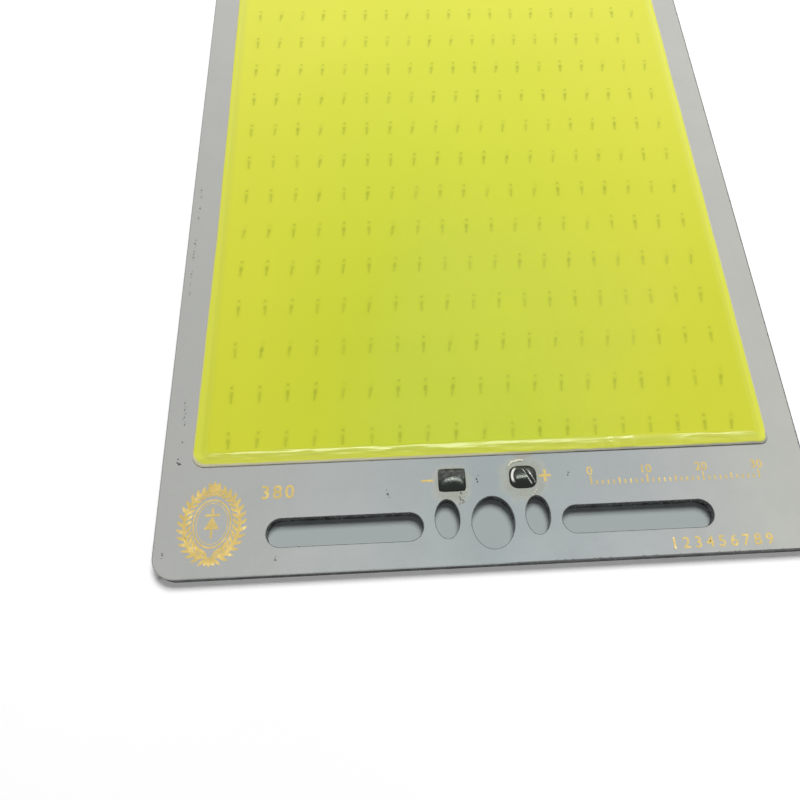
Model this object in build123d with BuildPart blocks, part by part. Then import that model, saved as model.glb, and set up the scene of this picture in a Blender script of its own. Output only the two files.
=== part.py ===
"""Chip-on-board LED panel: an aluminium-core board with a grid of LED chips under phosphor silicone.

The frame has its origin at the centre of the board's back face, +Z up through the board,
+Y along its length. The end with the two solder joints is at -Y. All sizes are in millimetres.
"""
import os

from build123d import *

os.makedirs("parts", exist_ok=True)

# Layers of the board, from the back to the front
plate_thickness = 1.8
insulation_thickness = 0.08
copper_thickness = 0.07
mask_cover = 0.05
board_corner_radius = 4.0

# LED chips: strings of chips in series run along the length, and each row is in parallel
column_count = 19
column_pitch = 5.0
chips_in_string = 4
string_count = 5
row_pitch = 9.1
chip_width = 0.42
chip_length = 0.86
chip_height = 0.15
field_shift = -0.3

# Silicone: the dam round the edge and the phosphor fill inside it
fill_side_margin = 3.5
fill_end_margin = 2.05
fill_depth = 0.9
dam_width = 2.4
dam_height = 0.95
dam_outer_round = 0.85
dam_inner_chamfer = 0.3
dam_left_corner_radius = 2.4
dam_right_corner_radius = 1.4
dam_inner_corner_radius = 0.6

# Channel under the fill along each row, for the chips and their bond wires
channel_width = 2.6
channel_height = 0.4

# Copper strips beside the rows, and the buses and tracks that feed them
strip_gap = 1.5
strip_side_margin = 1.4
end_strip_height = 3.2
bus_gap = 0.8
bus_width = 4.0
lead_track_height = 4.0

# Holes at each end of the board
slot_length = 26.3
slot_width = 4.9
slot_inset = 7.0
centre_hole_width = 7.3
centre_hole_height = 9.1
centre_hole_inset = 7.1
side_hole_width = 4.2
side_hole_height = 6.8
side_hole_inset = 8.05
hole_web = 2.0

# Solder joints of the supply leads
joint_width = 4.7
joint_depth = 4.1
joint_height = 1.05
joint_land = 1.4
joint_standoff = 2.15
joint_spacing = 12.4
joint_shift = -0.4
pillow_side_shoulder = 0.3
pillow_end_shoulder = 0.75
bead_side_shoulder = 0.35
bead_end_shoulder = 0.4
bead_corner_radius = 1.4
bead_lobe_width = 1.3
bead_groove_width = 0.35
bead_groove_depth = 0.5

# Side margin of the bare board beside the silicone
side_margin = 5.6

# Heights of the layers
insulation_base = plate_thickness
copper_base = insulation_base + insulation_thickness
copper_top = copper_base + copper_thickness
board_top = copper_top + mask_cover

# Plan sizes that follow
row_count = chips_in_string * string_count
fill_width = (column_count - 1) * column_pitch + 2 * fill_side_margin
fill_length = (row_count - 1) * row_pitch + 2 * fill_end_margin
pad_width = fill_width + 2 * dam_width
pad_length = fill_length + 2 * dam_width
end_margin = side_hole_inset + side_hole_height / 2 + joint_land + joint_depth + joint_standoff
board_width = pad_width + 2 * side_margin
board_length = pad_length + 2 * end_margin
side_hole_x = centre_hole_width / 2 + hole_web + side_hole_width / 2
slot_x = side_hole_x + side_hole_width / 2 + hole_web + slot_length / 2
joint_y = -pad_length / 2 - joint_standoff - joint_depth / 2
negative_joint_x = joint_shift - joint_spacing / 2
positive_joint_x = joint_shift + joint_spacing / 2
row_ys = [(row - (row_count - 1) / 2) * row_pitch for row in range(row_count)]

# Copper sizes that follow
field_width = (column_count - 1) * column_pitch + chip_width + 2 * abs(field_shift)
strip_width = field_width + 2 * strip_side_margin
bus_x = strip_width / 2 + bus_gap + bus_width / 2
strip_height = row_pitch - strip_gap
end_strip_y = row_ys[-1] + strip_gap / 2 + end_strip_height / 2

with BuildSketch() as board_outline:
    RectangleRounded(board_width, board_length, board_corner_radius)
    with GridLocations(2 * slot_x, board_length - 2 * slot_inset, 2, 2):
        SlotOverall(slot_length, slot_width, mode=Mode.SUBTRACT)
    with GridLocations(0, board_length - 2 * centre_hole_inset, 1, 2):
        Ellipse(centre_hole_width / 2, centre_hole_height / 2, mode=Mode.SUBTRACT)
    with GridLocations(2 * side_hole_x, board_length - 2 * side_hole_inset, 2, 2):
        Ellipse(side_hole_width / 2, side_hole_height / 2, mode=Mode.SUBTRACT)

with BuildPart() as base_plate:
    with BuildSketch():
        add(board_outline.sketch)
    extrude(amount=plate_thickness)
base_plate.part.label = "base_plate"
export_step(base_plate.part, "parts/base_plate.step")

with BuildPart() as insulation_layer:
    with BuildSketch(Plane.XY.offset(insulation_base)):
        add(board_outline.sketch)
    extrude(amount=insulation_thickness)
insulation_layer.part.label = "insulation_layer"
export_step(insulation_layer.part, "parts/insulation_layer.step")


def strip_place(index):
    """Centre and height of a copper strip: strip 0 lies before the first row, the last after the last row."""
    if index == 0:
        return -end_strip_y, end_strip_height
    if index == row_count:
        return end_strip_y, end_strip_height
    return (index - row_count / 2) * row_pitch, strip_height


# Each comb is a bus along one side, with a tooth across the board at every second end of the strings.
# The positive bus is at the right and the negative one at the left, and each leads to its solder pad.
combs = {}
for name, side, first_tooth, joint_x in (
    ("positive_copper", 1, 0, positive_joint_x),
    ("negative_copper", -1, chips_in_string, negative_joint_x),
):
    teeth = [strip_place(index) for index in range(first_tooth, row_count + 1, 2 * chips_in_string)]
    bus_start = joint_y - lead_track_height / 2
    bus_end = teeth[-1][0] + teeth[-1][1] / 2
    bus_outer_x = bus_x + bus_width / 2
    lead_length = bus_outer_x - side * joint_x + joint_width / 2
    tooth_length = bus_outer_x + strip_width / 2
    with BuildPart() as comb:
        with BuildSketch(Plane.XY.offset(copper_base)):
            with Locations((side * bus_x, (bus_start + bus_end) / 2)):
                Rectangle(bus_width, bus_end - bus_start)
            for tooth_y, tooth_height in teeth:
                with Locations((side * (bus_outer_x - tooth_length / 2), tooth_y)):
                    Rectangle(tooth_length, tooth_height)
            with Locations((side * (bus_outer_x - lead_length / 2), joint_y)):
                Rectangle(lead_length, lead_track_height)
            with Locations((joint_x, joint_y)):
                Rectangle(joint_width, joint_depth)
        extrude(amount=copper_thickness)
    comb.part.label = name
    export_step(comb.part, f"parts/{name}.step")
    combs[name] = comb

# The strips between the teeth join one row of chips to the next
link_strips = []
for index in range(1, row_count):
    if index % chips_in_string == 0:
        continue
    strip_y, height = strip_place(index)
    with BuildPart() as link_strip:
        with BuildSketch(Plane.XY.offset(copper_base)):
            with Locations((0, strip_y)):
                Rectangle(strip_width, height)
        extrude(amount=copper_thickness)
    link_strip.part.label = f"link_strip_{len(link_strips) + 1:02d}"
    export_step(link_strip.part, f"parts/{link_strip.part.label}.step")
    link_strips.append(link_strip)

# The chips sit on the insulation in the gaps between the strips, one node to a row
for row, row_y in enumerate(row_ys, start=1):
    with BuildPart() as chip_row:
        with BuildSketch(Plane.XY.offset(copper_base)):
            with Locations((field_shift, row_y)):
                with GridLocations(column_pitch, 0, column_count, 1):
                    Rectangle(chip_width, chip_length)
        extrude(amount=chip_height)
    chip_row.part.label = f"chip_row_{row:02d}"
    export_step(chip_row.part, f"parts/{chip_row.part.label}.step")


def arch_outline(centre, width, shoulder):
    """Outline of a joint seen from one side: straight up from the pad to its shoulders, then over the crown."""
    start, end = centre - width / 2, centre + width / 2
    shoulder_z = board_top + shoulder
    Polyline((start, shoulder_z), (start, copper_top), (end, copper_top), (end, shoulder_z))
    ThreePointArc((end, shoulder_z), (centre, board_top + joint_height), (start, shoulder_z))


# Negative joint: a pillow of solder, arched across its depth and more flatly along its width
with BuildPart() as negative_joint:
    with BuildSketch(Plane.YZ.offset(negative_joint_x)):
        with BuildLine():
            arch_outline(joint_y, joint_depth, pillow_side_shoulder)
        make_face()
    extrude(amount=joint_width / 2, both=True)
    with BuildSketch(Plane.XZ.offset(-joint_y)):
        with BuildLine():
            arch_outline(negative_joint_x, joint_width, pillow_end_shoulder)
        make_face()
    extrude(amount=joint_depth / 2, both=True, mode=Mode.INTERSECT)
negative_joint.part.label = "negative_joint"
export_step(negative_joint.part, "parts/negative_joint.step")

# Positive joint: a rounder bead, with a groove where a second lobe ran into it at the right
with BuildPart() as positive_joint:
    with BuildSketch(Plane.YZ.offset(positive_joint_x)):
        with BuildLine():
            arch_outline(joint_y, joint_depth, bead_side_shoulder)
        make_face()
    extrude(amount=joint_width / 2, both=True)
    with BuildSketch(Plane.XZ.offset(-joint_y)):
        with BuildLine():
            arch_outline(positive_joint_x, joint_width, bead_end_shoulder)
        make_face()
    extrude(amount=joint_depth / 2, both=True, mode=Mode.INTERSECT)
    with BuildSketch(Plane.XY.offset(copper_top)):
        with Locations((positive_joint_x, joint_y)):
            RectangleRounded(joint_width, joint_depth, bead_corner_radius)
    extrude(amount=mask_cover + joint_height, mode=Mode.INTERSECT)
    with BuildSketch(Plane.XY.offset(board_top + joint_height)):
        with Locations((positive_joint_x + joint_width / 2 - bead_lobe_width, joint_y)):
            Rectangle(bead_groove_width, joint_depth)
    extrude(amount=-bead_groove_depth, mode=Mode.SUBTRACT)
positive_joint.part.label = "positive_joint"
export_step(positive_joint.part, "parts/positive_joint.step")

with BuildSketch() as fill_outline:
    RectangleRounded(fill_width, fill_length, dam_inner_corner_radius)

# The mask covers the copper and fills the space beside it, apart from the solder pads
# and one window inside the dam
with BuildPart() as solder_mask:
    with BuildSketch(Plane.XY.offset(copper_base)):
        add(board_outline.sketch)
        add(fill_outline.sketch, mode=Mode.SUBTRACT)
    extrude(amount=board_top - copper_base)
    for comb in combs.values():
        add(comb.part, mode=Mode.SUBTRACT)
    add(negative_joint.part, mode=Mode.SUBTRACT)
    add(positive_joint.part, mode=Mode.SUBTRACT)
solder_mask.part.label = "solder_mask"
export_step(solder_mask.part, "parts/solder_mask.step")

# The dam is a bead of silicone, laid round the chips before the fill was poured
with BuildPart() as silicone_dam:
    with BuildSketch(Plane.XY.offset(board_top)) as dam_outline:
        Rectangle(pad_width, pad_length)
        fillet(dam_outline.vertices().group_by(Axis.X)[0], radius=dam_left_corner_radius)
        fillet(dam_outline.vertices().group_by(Axis.X)[-1], radius=dam_right_corner_radius)
    extrude(amount=dam_height)
    fillet(silicone_dam.faces().sort_by(Axis.Z)[-1].edges(), radius=dam_outer_round)
    with BuildSketch(Plane.XY.offset(board_top)):
        add(fill_outline.sketch)
    extrude(amount=dam_height, mode=Mode.SUBTRACT)
    chamfer(silicone_dam.faces().sort_by(Axis.Z)[-1].inner_wires().edges(), length=dam_inner_chamfer)
silicone_dam.part.label = "silicone_dam"
export_step(silicone_dam.part, "parts/silicone_dam.step")

# The fill lies inside the dam and keys into the copper, with a channel over each row of chips
with BuildPart() as phosphor_fill:
    with BuildSketch(Plane.XY.offset(copper_base)):
        add(fill_outline.sketch)
    extrude(amount=board_top - copper_base)
    with BuildSketch(Plane.XY.offset(board_top)):
        Rectangle(fill_width + dam_width, fill_length + dam_width)
    extrude(amount=fill_depth)
    add(silicone_dam.part, mode=Mode.SUBTRACT)
    for copper in (*combs.values(), *link_strips):
        add(copper.part, mode=Mode.SUBTRACT)
    with BuildSketch(Plane.XY.offset(copper_base)):
        with GridLocations(0, row_pitch, 1, row_count):
            Rectangle(strip_width, channel_width)
    extrude(amount=channel_height, mode=Mode.SUBTRACT)
phosphor_fill.part.label = "phosphor_fill"
export_step(phosphor_fill.part, "parts/phosphor_fill.step")

print(f"board {board_width:.1f} x {board_length:.1f} x {board_top:.2f} mm, {column_count * row_count} chips")
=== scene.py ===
"""Looks of the COB LED panel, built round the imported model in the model's own frame.

Sizes and places are in millimetres, as in the part's source, and are turned into metres once, when
a mesh is finished. The lamps and the floor are in metres.
"""

import logging
import math
import random
from dataclasses import dataclass
from enum import Enum
from functools import reduce
from typing import Iterable, Optional, Sequence, Union

import bmesh
import bpy
from mathutils import Matrix, Quaternion, Vector, noise


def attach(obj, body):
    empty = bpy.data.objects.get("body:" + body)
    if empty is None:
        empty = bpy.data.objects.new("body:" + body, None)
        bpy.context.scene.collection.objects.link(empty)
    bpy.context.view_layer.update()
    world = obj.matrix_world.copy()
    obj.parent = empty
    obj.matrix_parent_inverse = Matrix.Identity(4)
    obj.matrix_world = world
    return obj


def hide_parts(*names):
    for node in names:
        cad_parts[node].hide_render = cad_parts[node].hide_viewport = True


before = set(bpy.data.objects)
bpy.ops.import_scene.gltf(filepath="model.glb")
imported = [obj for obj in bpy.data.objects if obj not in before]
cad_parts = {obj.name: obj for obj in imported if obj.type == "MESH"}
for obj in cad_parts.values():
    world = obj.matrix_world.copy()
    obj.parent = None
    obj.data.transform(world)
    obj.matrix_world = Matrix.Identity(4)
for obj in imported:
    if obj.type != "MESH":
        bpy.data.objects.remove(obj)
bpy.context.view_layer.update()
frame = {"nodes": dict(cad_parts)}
LOG = logging.getLogger("cob_panel")
MM = 0.001
SHARP_ANGLE = math.radians(55)

BMesh = bmesh.types.BMesh
Face = bmesh.types.BMFace
Material = bpy.types.Material
Socket = bpy.types.NodeSocket
Feed = Union[float, Sequence[float], Socket]
Paint = tuple[float, float, float, float]


class RecordSlot(Enum):
    """The record's material slots for the scene's own pieces."""

    DAM = "dam_silicone"
    GOLD = "gold_print"
    PHOSPHOR = "phosphor_silicone"
    SOLDER = "solder"


def paint(red: float, green: float, blue: float) -> Paint:
    """Returns a solid colour, in linear light."""
    return (red, green, blue, 1.0)


# ---------------------------------------------------------------- sizes that several classes share


@dataclass(frozen=True)
class BoardPlan:
    """Sizes of the board and of what stands on it, as the part's source names them."""

    width: float = 113.0
    length: float = 220.0
    corner_radius: float = 4.0
    top: float = 2.0
    copper_top: float = 1.95
    column_count: int = 19
    column_pitch: float = 5.0
    row_count: int = 20
    row_pitch: float = 9.1
    field_shift: float = -0.3
    slot_x: float = 25.0
    slot_y: float = 103.0
    slot_length: float = 26.3
    slot_width: float = 4.9
    centre_hole_y: float = 102.9
    centre_hole_width: float = 7.3
    centre_hole_height: float = 9.1
    side_hole_x: float = 7.75
    side_hole_y: float = 101.95
    side_hole_width: float = 4.2
    side_hole_height: float = 6.8
    joint_y: float = -95.1
    negative_x: float = -6.6
    positive_x: float = 5.8
    groove_offset: float = 0.40
    groove_slant: float = 0.46

    def columns(self) -> list[float]:
        """Finds the columns of chips.

        Returns:
            The x of each.
        """
        middle = (self.column_count - 1) / 2
        steps = range(self.column_count)
        return [(step - middle) * self.column_pitch + self.field_shift for step in steps]

    def rows(self) -> list[float]:
        """Returns the y of each row of chips."""
        middle = (self.row_count - 1) / 2
        return [(step - middle) * self.row_pitch for step in range(self.row_count)]


PLAN = BoardPlan()


def clamped(value: float) -> float:
    """Returns a value kept between 0 and 1."""
    return max(0.0, min(1.0, value))


def hump(off: float, width: float) -> float:
    """Returns the height of a bell curve: 1 in its middle, and about a third at its width."""
    return math.exp(-((off / width) ** 2))


# ---------------------------------------------------------------- shader wiring


class Wiring:
    """Adds nodes to one shader tree and joins them."""

    def __init__(self, tree: bpy.types.NodeTree) -> None:
        """Keeps the tree that the nodes go into.

        Args:
            tree: A material's tree or a node group.
        """
        self.tree = tree

    def node(self, kind: str, feeds: Optional[dict] = None, **settings: object) -> bpy.types.Node:
        """Adds a node.

        Args:
            kind: The node's type name.
            feeds: What goes into its inputs, by name or index: a value or another node's output.
            **settings: The node's own properties.

        Returns:
            The node.
        """
        made = self.tree.nodes.new(kind)
        for name, value in settings.items():
            setattr(made, name, value)
        for key, value in (feeds or {}).items():
            self.feed(made.inputs[key], value)
        return made

    def feed(self, socket: Socket, value: Feed) -> None:
        """Links an output to a socket, or sets the socket's own value.

        Args:
            socket: The socket.
            value: Another node's output, or a value.
        """
        if isinstance(value, Socket):
            self.tree.links.new(value, socket)
        else:
            socket.default_value = value

    def math(self, operation: str, *values: Feed, clamp: bool = False) -> Socket:
        """Returns the output of a Math node of up to three values."""
        feeds = dict(enumerate(values))
        return self.node("ShaderNodeMath", feeds, operation=operation, use_clamp=clamp).outputs[0]

    def times(self, first: Feed, second: Feed) -> Socket:
        """Returns the product of two values."""
        return self.math("MULTIPLY", first, second)

    def less(self, first: Feed, second: Feed) -> Socket:
        """Returns the first value less the second."""
        return self.math("SUBTRACT", first, second)

    def away(self, value: Feed, middle: Feed) -> Socket:
        """Returns how far a value is from a middle."""
        return self.math("ABSOLUTE", self.less(value, middle))

    def most(self, *values: Feed) -> Socket:
        """Returns the greatest of two values or more."""
        return reduce(lambda first, second: self.math("MAXIMUM", first, second), values)

    def place(self) -> Socket:
        """Returns Object coordinates in millimetres."""
        return self.scaled(self.node("ShaderNodeTexCoord").outputs["Object"], 1 / MM)

    def seen(self) -> Socket:
        """Returns 1 for camera, glossy and transmission rays, and 0 for the others."""
        rays = self.node("ShaderNodeLightPath").outputs
        return self.most(*(rays[f"Is {kind} Ray"] for kind in ("Camera", "Glossy", "Transmission")))

    def vector(self, operation: str, *values: Feed) -> Socket:
        """Returns the output of a Vector Math node, which is a number for a length."""
        made = self.node("ShaderNodeVectorMath", dict(enumerate(values)), operation=operation)
        return made.outputs["Value" if operation in ("LENGTH", "DISTANCE") else "Vector"]

    def scaled(self, vector: Feed, factor: Feed) -> Socket:
        """Returns a vector times a number."""
        made = self.node("ShaderNodeVectorMath", {0: vector, "Scale": factor}, operation="SCALE")
        return made.outputs["Vector"]

    def parts(self, vector: Feed) -> tuple[Socket, ...]:
        """Returns the x, y and z of a vector."""
        return tuple(self.node("ShaderNodeSeparateXYZ", {0: vector}).outputs)

    def join(self, x: Feed, y: Feed, z: Feed = 0.0) -> Socket:
        """Returns a vector made of three numbers."""
        return self.node("ShaderNodeCombineXYZ", {0: x, 1: y, 2: z}).outputs[0]

    def noise(self, place: Feed, size: Feed, detail: float = 2.0, twist: float = 0.0) -> Socket:
        """Adds a noise.

        Args:
            place: Coordinates in millimetres.
            size: Size of the noise's patches, in millimetres.
            detail: How many finer layers it has.
            twist: How much it is distorted.

        Returns:
            About 0 to 1.
        """
        linked = isinstance(size, Socket)
        scale = self.math("DIVIDE", 1.0, size) if linked else 1.0 / size
        feeds = {"Vector": place, "Scale": scale, "Detail": detail, "Distortion": twist}
        return self.node("ShaderNodeTexNoise", feeds).outputs["Fac"]

    def step(
        self, value: Feed, low: Feed, high: Feed, start: Feed = 0.0, end: Feed = 1.0
    ) -> Socket:
        """Adds a smooth step.

        Args:
            value: What it follows.
            low: Where it starts. It may be above high.
            high: Where it ends.
            start: Its result at low.
            end: Its result at high.

        Returns:
            A number from start to end.
        """
        feeds = {"Value": value, "From Min": low, "From Max": high, "To Min": start, "To Max": end}
        made = self.node("ShaderNodeMapRange", feeds, interpolation_type="SMOOTHSTEP")
        return made.outputs["Result"]

    def mix(self, share: Feed, first: Feed, second: Feed) -> Socket:
        """Mixes two colours.

        Args:
            share: The second colour's share.
            first: The first colour.
            second: The second colour.

        Returns:
            The colour between them.
        """
        made = self.node("ShaderNodeMix", data_type="RGBA")
        for index, value in ((0, share), (6, first), (7, second)):
            self.feed(made.inputs[index], value)
        return made.outputs[2]

    def ramp(self, share: Feed, stops: Sequence[tuple[float, Paint]]) -> Socket:
        """Adds a colour ramp.

        Args:
            share: Where on the ramp, from 0 to 1.
            stops: Each stop's place and colour.

        Returns:
            The colour there.
        """
        made = self.node("ShaderNodeValToRGB", {0: share})
        elements = made.color_ramp.elements
        for _ in stops[2:]:
            elements.new(0.5)
        for element, (place, colour) in zip(elements, stops):
            element.position, element.color = place, colour
        return made.outputs["Color"]

    def bump(self, height: Feed, depth: float, strength: float = 1.0) -> Socket:
        """Returns a normal from a height of 0 to 1 that stands for a depth in millimetres."""
        feeds = {"Height": height, "Distance": depth * MM, "Strength": strength}
        return self.node("ShaderNodeBump", feeds).outputs["Normal"]


class Effect:
    """A node group that several finishes share, made once and placed with its own values."""

    KINDS = {float: "NodeSocketFloat", tuple: "NodeSocketVector", str: "NodeSocketColor"}

    def __init__(
        self, name: str, inputs: dict[str, object], output: str, kind: type = float
    ) -> None:
        """Starts the group with its sockets.

        Args:
            name: The group's name.
            inputs: Each input's name and its value when nothing is linked.
            output: The output's name.
            kind: The type of what it puts out.
        """
        self.group = bpy.data.node_groups.new(name, "ShaderNodeTree")
        for label, value in inputs.items():
            kept = self.KINDS[type(value)]
            made = self.group.interface.new_socket(label, in_out="INPUT", socket_type=kept)
            made.default_value = value
        self.group.interface.new_socket(output, in_out="OUTPUT", socket_type=self.KINDS[kind])
        self.wires = Wiring(self.group)
        self.given = self.wires.node("NodeGroupInput").outputs
        self.result = self.wires.node("NodeGroupOutput").inputs[output]

    def place(self, wires: Wiring, **feeds: Feed) -> Socket:
        """Puts the group into a tree.

        Args:
            wires: The tree's wiring.
            **feeds: Values or links for the group's inputs.

        Returns:
            The group's output.
        """
        made = wires.node("ShaderNodeGroup", node_tree=self.group)
        for name, value in feeds.items():
            wires.feed(made.inputs[name], value)
        return made.outputs[0]


def make_mottle() -> Effect:
    """Makes soft patches of two sizes, for a surface that isn't quite even.

    Returns:
        A group that puts out about 0 to 1.
    """
    effect = Effect("surface_mottle", {"Place": (0.0, 0.0, 0.0), "Size": 1.0}, "Value")
    wires, given = effect.wires, effect.given
    fine_size, fine_share = 0.22, 0.5
    broad = wires.noise(given["Place"], given["Size"], 2.0)
    fine = wires.noise(given["Place"], wires.times(given["Size"], fine_size), 3.0)
    wires.feed(effect.result, wires.math("MULTIPLY_ADD", wires.less(fine, 0.5), fine_share, broad))
    return effect


def make_specks() -> Effect:
    """Makes scattered round specks, by their spacing, radius and the share of places that have one.

    Returns:
        A group that puts out 1 on a speck.
    """
    inputs = {"Place": (0.0, 0.0, 0.0), "Spacing": 2.0, "Radius": 0.1, "Share": 0.3}
    effect = Effect("dust_specks", inputs, "Mask")
    wires, given = effect.wires, effect.given
    cells = wires.node(
        "ShaderNodeTexVoronoi",
        {"Vector": given["Place"], "Scale": wires.math("DIVIDE", 1.0, given["Spacing"])},
    )
    reach = wires.times(cells.outputs["Distance"], given["Spacing"])
    red, green, _ = wires.node("ShaderNodeSeparateColor", {0: cells.outputs["Color"]}).outputs
    radius = wires.times(given["Radius"], wires.step(green, 0.0, 1.0, 0.4, 1.3))
    inside = wires.step(reach, radius, wires.times(radius, 0.5))
    wires.feed(effect.result, wires.times(inside, wires.math("LESS_THAN", red, given["Share"])))
    return effect


def make_hole_distance() -> Effect:
    """Makes the distance to the nearest hole's edge, seen from above.

    Returns:
        A group that puts out millimetres.
    """
    effect = Effect("hole_distance", {"Place": (0.0, 0.0, 0.0)}, "Distance")
    wires, given = effect.wires, effect.given
    x, y, _ = wires.parts(wires.vector("ABSOLUTE", given["Place"]))
    half = PLAN.slot_length / 2 - PLAN.slot_width / 2
    past = wires.less(wires.away(x, PLAN.slot_x), half)
    reach = wires.join(wires.most(past, 0.0), wires.less(y, PLAN.slot_y))
    nearest = wires.less(wires.vector("LENGTH", reach), PLAN.slot_width / 2)
    ovals = (
        (0.0, PLAN.centre_hole_y, PLAN.centre_hole_width, PLAN.centre_hole_height),
        (PLAN.side_hole_x, PLAN.side_hole_y, PLAN.side_hole_width, PLAN.side_hole_height),
    )
    for centre_x, centre_y, width, height in ovals:
        off = wires.join(wires.less(x, centre_x), wires.less(y, centre_y))
        shares = (2 / width, 2 / height, 0.0)
        once = wires.vector("LENGTH", wires.vector("MULTIPLY", off, shares))
        squared = tuple(share**2 for share in shares)
        twice = wires.vector("LENGTH", wires.vector("MULTIPLY", off, squared))
        ring = wires.math("DIVIDE", wires.times(once, wires.less(once, 1.0)), twice)
        nearest = wires.math("MINIMUM", nearest, ring)
    wires.feed(effect.result, nearest)
    return effect


def make_chip_shadow() -> Effect:
    """Makes the mark of each chip and its two bond wires, as they show through the silicone.

    Returns:
        A group that puts out how strong the mark is.
    """
    effect = Effect("chip_shadow", {"Place": (0.0, 0.0, 0.0)}, "Mask")
    wires, given = effect.wires, effect.given
    x, y, _ = wires.parts(given["Place"])
    across = wires.math("DIVIDE", wires.less(x, PLAN.field_shift), PLAN.column_pitch)
    along = wires.math("DIVIDE", y, PLAN.row_pitch)
    column = wires.math("ROUND", across)
    row = wires.math("FLOOR", along)
    spot_number = {"Vector": wires.join(column, row)}
    chance = wires.node("ShaderNodeTexWhiteNoise", spot_number, noise_dimensions="2D")
    red, green, blue = wires.node("ShaderNodeSeparateColor", {0: chance.outputs["Color"]}).outputs
    near_y = wires.times(wires.less(wires.less(along, row), 0.5), PLAN.row_pitch)
    lean = wires.math("MULTIPLY_ADD", red, 0.16, wires.step(x, -52.0, 5.0, -0.12, -0.2))
    near_x = wires.times(wires.less(across, column), PLAN.column_pitch)
    near_x = wires.math("MULTIPLY_ADD", near_y, lean, near_x)
    near_x = wires.math("MULTIPLY_ADD", wires.less(green, 0.5), 0.16, near_x)

    def spot(middle: Feed, half_width: float, half_length: Feed, soft: float) -> Socket:
        """Lays a soft rounded block on the chip's own line.

        Args:
            middle: Its place along the line.
            half_width: Half of its width.
            half_length: Half of its length.
            soft: Which share of it is its soft rim.

        Returns:
            1 inside it.
        """
        off = []
        for reach, half in ((near_x, half_width), (wires.less(near_y, middle), half_length)):
            share = wires.math("ABSOLUTE", wires.math("DIVIDE", reach, half))
            off.append(wires.math("POWER", share, 1.5))
        return wires.step(wires.vector("LENGTH", wires.join(*off)), 1.0 + soft, 1.0 - soft)

    far_end = wires.step(blue, 0.0, 1.0, 1.15, 1.5)
    dot = wires.times(spot(far_end, 0.30, 0.32, 0.6), wires.step(red, 0.05, 0.4, 0.15, 0.65))
    line = wires.times(spot(-1.05, 0.22, wires.step(green, 0.0, 1.0, 0.75, 1.0), 0.5), 0.68)
    core = wires.times(spot(-0.25, 0.34, 0.62, 0.6), wires.step(blue, 0.0, 0.8, 0.55, 0.9))
    haze = wires.times(spot(-0.2, 0.62, 1.9, 0.7), 0.16)
    mark = wires.most(dot, line, core, haze)
    wires.feed(effect.result, wires.times(mark, wires.step(green, 0.0, 1.0, 0.75, 1.0)))
    return effect


def make_phosphor_tint() -> Effect:
    """Makes the yellow of the phosphor silicone, a little darker towards the leads' end: the far
    end is lighter by a painted sheen.

    Returns:
        A group that puts out a colour.
    """
    effect = Effect("phosphor_tint", {"Place": (0.0, 0.0, 0.0)}, "Color", str)
    wires, given = effect.wires, effect.given
    x, y, _ = wires.parts(given["Place"])
    patch = wires.times(wires.less(wires.noise(given["Place"], 34.0, 1.0), 0.5), 0.35)
    # along carries the painted sheen from the leads' end to the far end, with random patches.
    along = wires.math("ADD", wires.step(y, -92.0, 60.0), patch, clamp=True)
    near_middle, far_middle = paint(0.572, 0.656, 0.022), paint(0.780, 0.796, 0.056)
    near_sides, far_sides = paint(0.648, 0.680, 0.026), paint(0.780, 0.788, 0.060)
    middle = wires.ramp(along, ((0.0, near_middle), (1.0, far_middle)))
    sides = wires.ramp(along, ((0.0, near_sides), (1.0, far_sides)))
    wires.feed(effect.result, wires.mix(wires.step(wires.away(x, -4.0), 6.0, 46.0), middle, sides))
    return effect


class Effects:
    """The shared node groups, by what they do."""

    def __init__(self) -> None:
        """Makes each group once."""
        self.mottle = make_mottle()
        self.specks = make_specks()
        self.hole_distance = make_hole_distance()
        self.chip_shadow = make_chip_shadow()
        self.phosphor_tint = make_phosphor_tint()


# ---------------------------------------------------------------- finishes


@dataclass(frozen=True)
class Finish:
    """A finish: a Principled shader whose colour, roughness and relief come from nodes."""

    effects: Effects
    name: str = "finish"
    metallic: float = 0.0
    ior: float = 1.5

    def make(self) -> Material:
        """Makes the material, with its pattern laid on Object coordinates in millimetres.

        Returns:
            The material.
        """
        material = bpy.data.materials.new(self.name)
        material.use_nodes = True
        tree = material.node_tree
        tree.nodes.clear()
        wires = Wiring(tree)
        plain = {"Metallic": self.metallic, "IOR": self.ior}
        shader = wires.node("ShaderNodeBsdfPrincipled", plain)
        surface = wires.node("ShaderNodeOutputMaterial").inputs["Surface"]
        wires.feed(surface, shader.outputs["BSDF"])
        for name, value in self.feeds(wires, wires.place()).items():
            wires.feed(shader.inputs[name], value)
        return material

    def mottle(self, wires: Wiring, place: Feed, size: float) -> Socket:
        """Returns soft patches of a size in millimetres, about 0 to 1."""
        return self.effects.mottle.place(wires, Place=place, Size=size)

    def feeds(self, wires: Wiring, place: Socket) -> dict[str, Feed]:
        """Makes what goes into the shader.

        Args:
            wires: The material's wiring.
            place: Object coordinates in millimetres.

        Returns:
            The shader's inputs by name.
        """
        raise NotImplementedError


@dataclass(frozen=True)
class Stain:
    """An oval on the mask, by its middle and half sizes."""

    x: float
    y: float
    half_width: float
    half_length: float

    def lay(self, wires: Wiring, place: Feed) -> Socket:
        """Lays the stain, with an uneven rim.

        Args:
            wires: The material's wiring.
            place: Object coordinates in millimetres.

        Returns:
            1 inside it.
        """
        off = wires.vector("SUBTRACT", place, (self.x, self.y, PLAN.top))
        off = wires.vector("MULTIPLY", off, (1 / self.half_width, 1 / self.half_length, 0.0))
        reach = wires.vector("LENGTH", off)
        ragged = wires.math("MULTIPLY_ADD", wires.noise(place, 1.3, 3.0), -0.6, reach)
        return wires.step(ragged, 0.85, 0.55)


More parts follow.
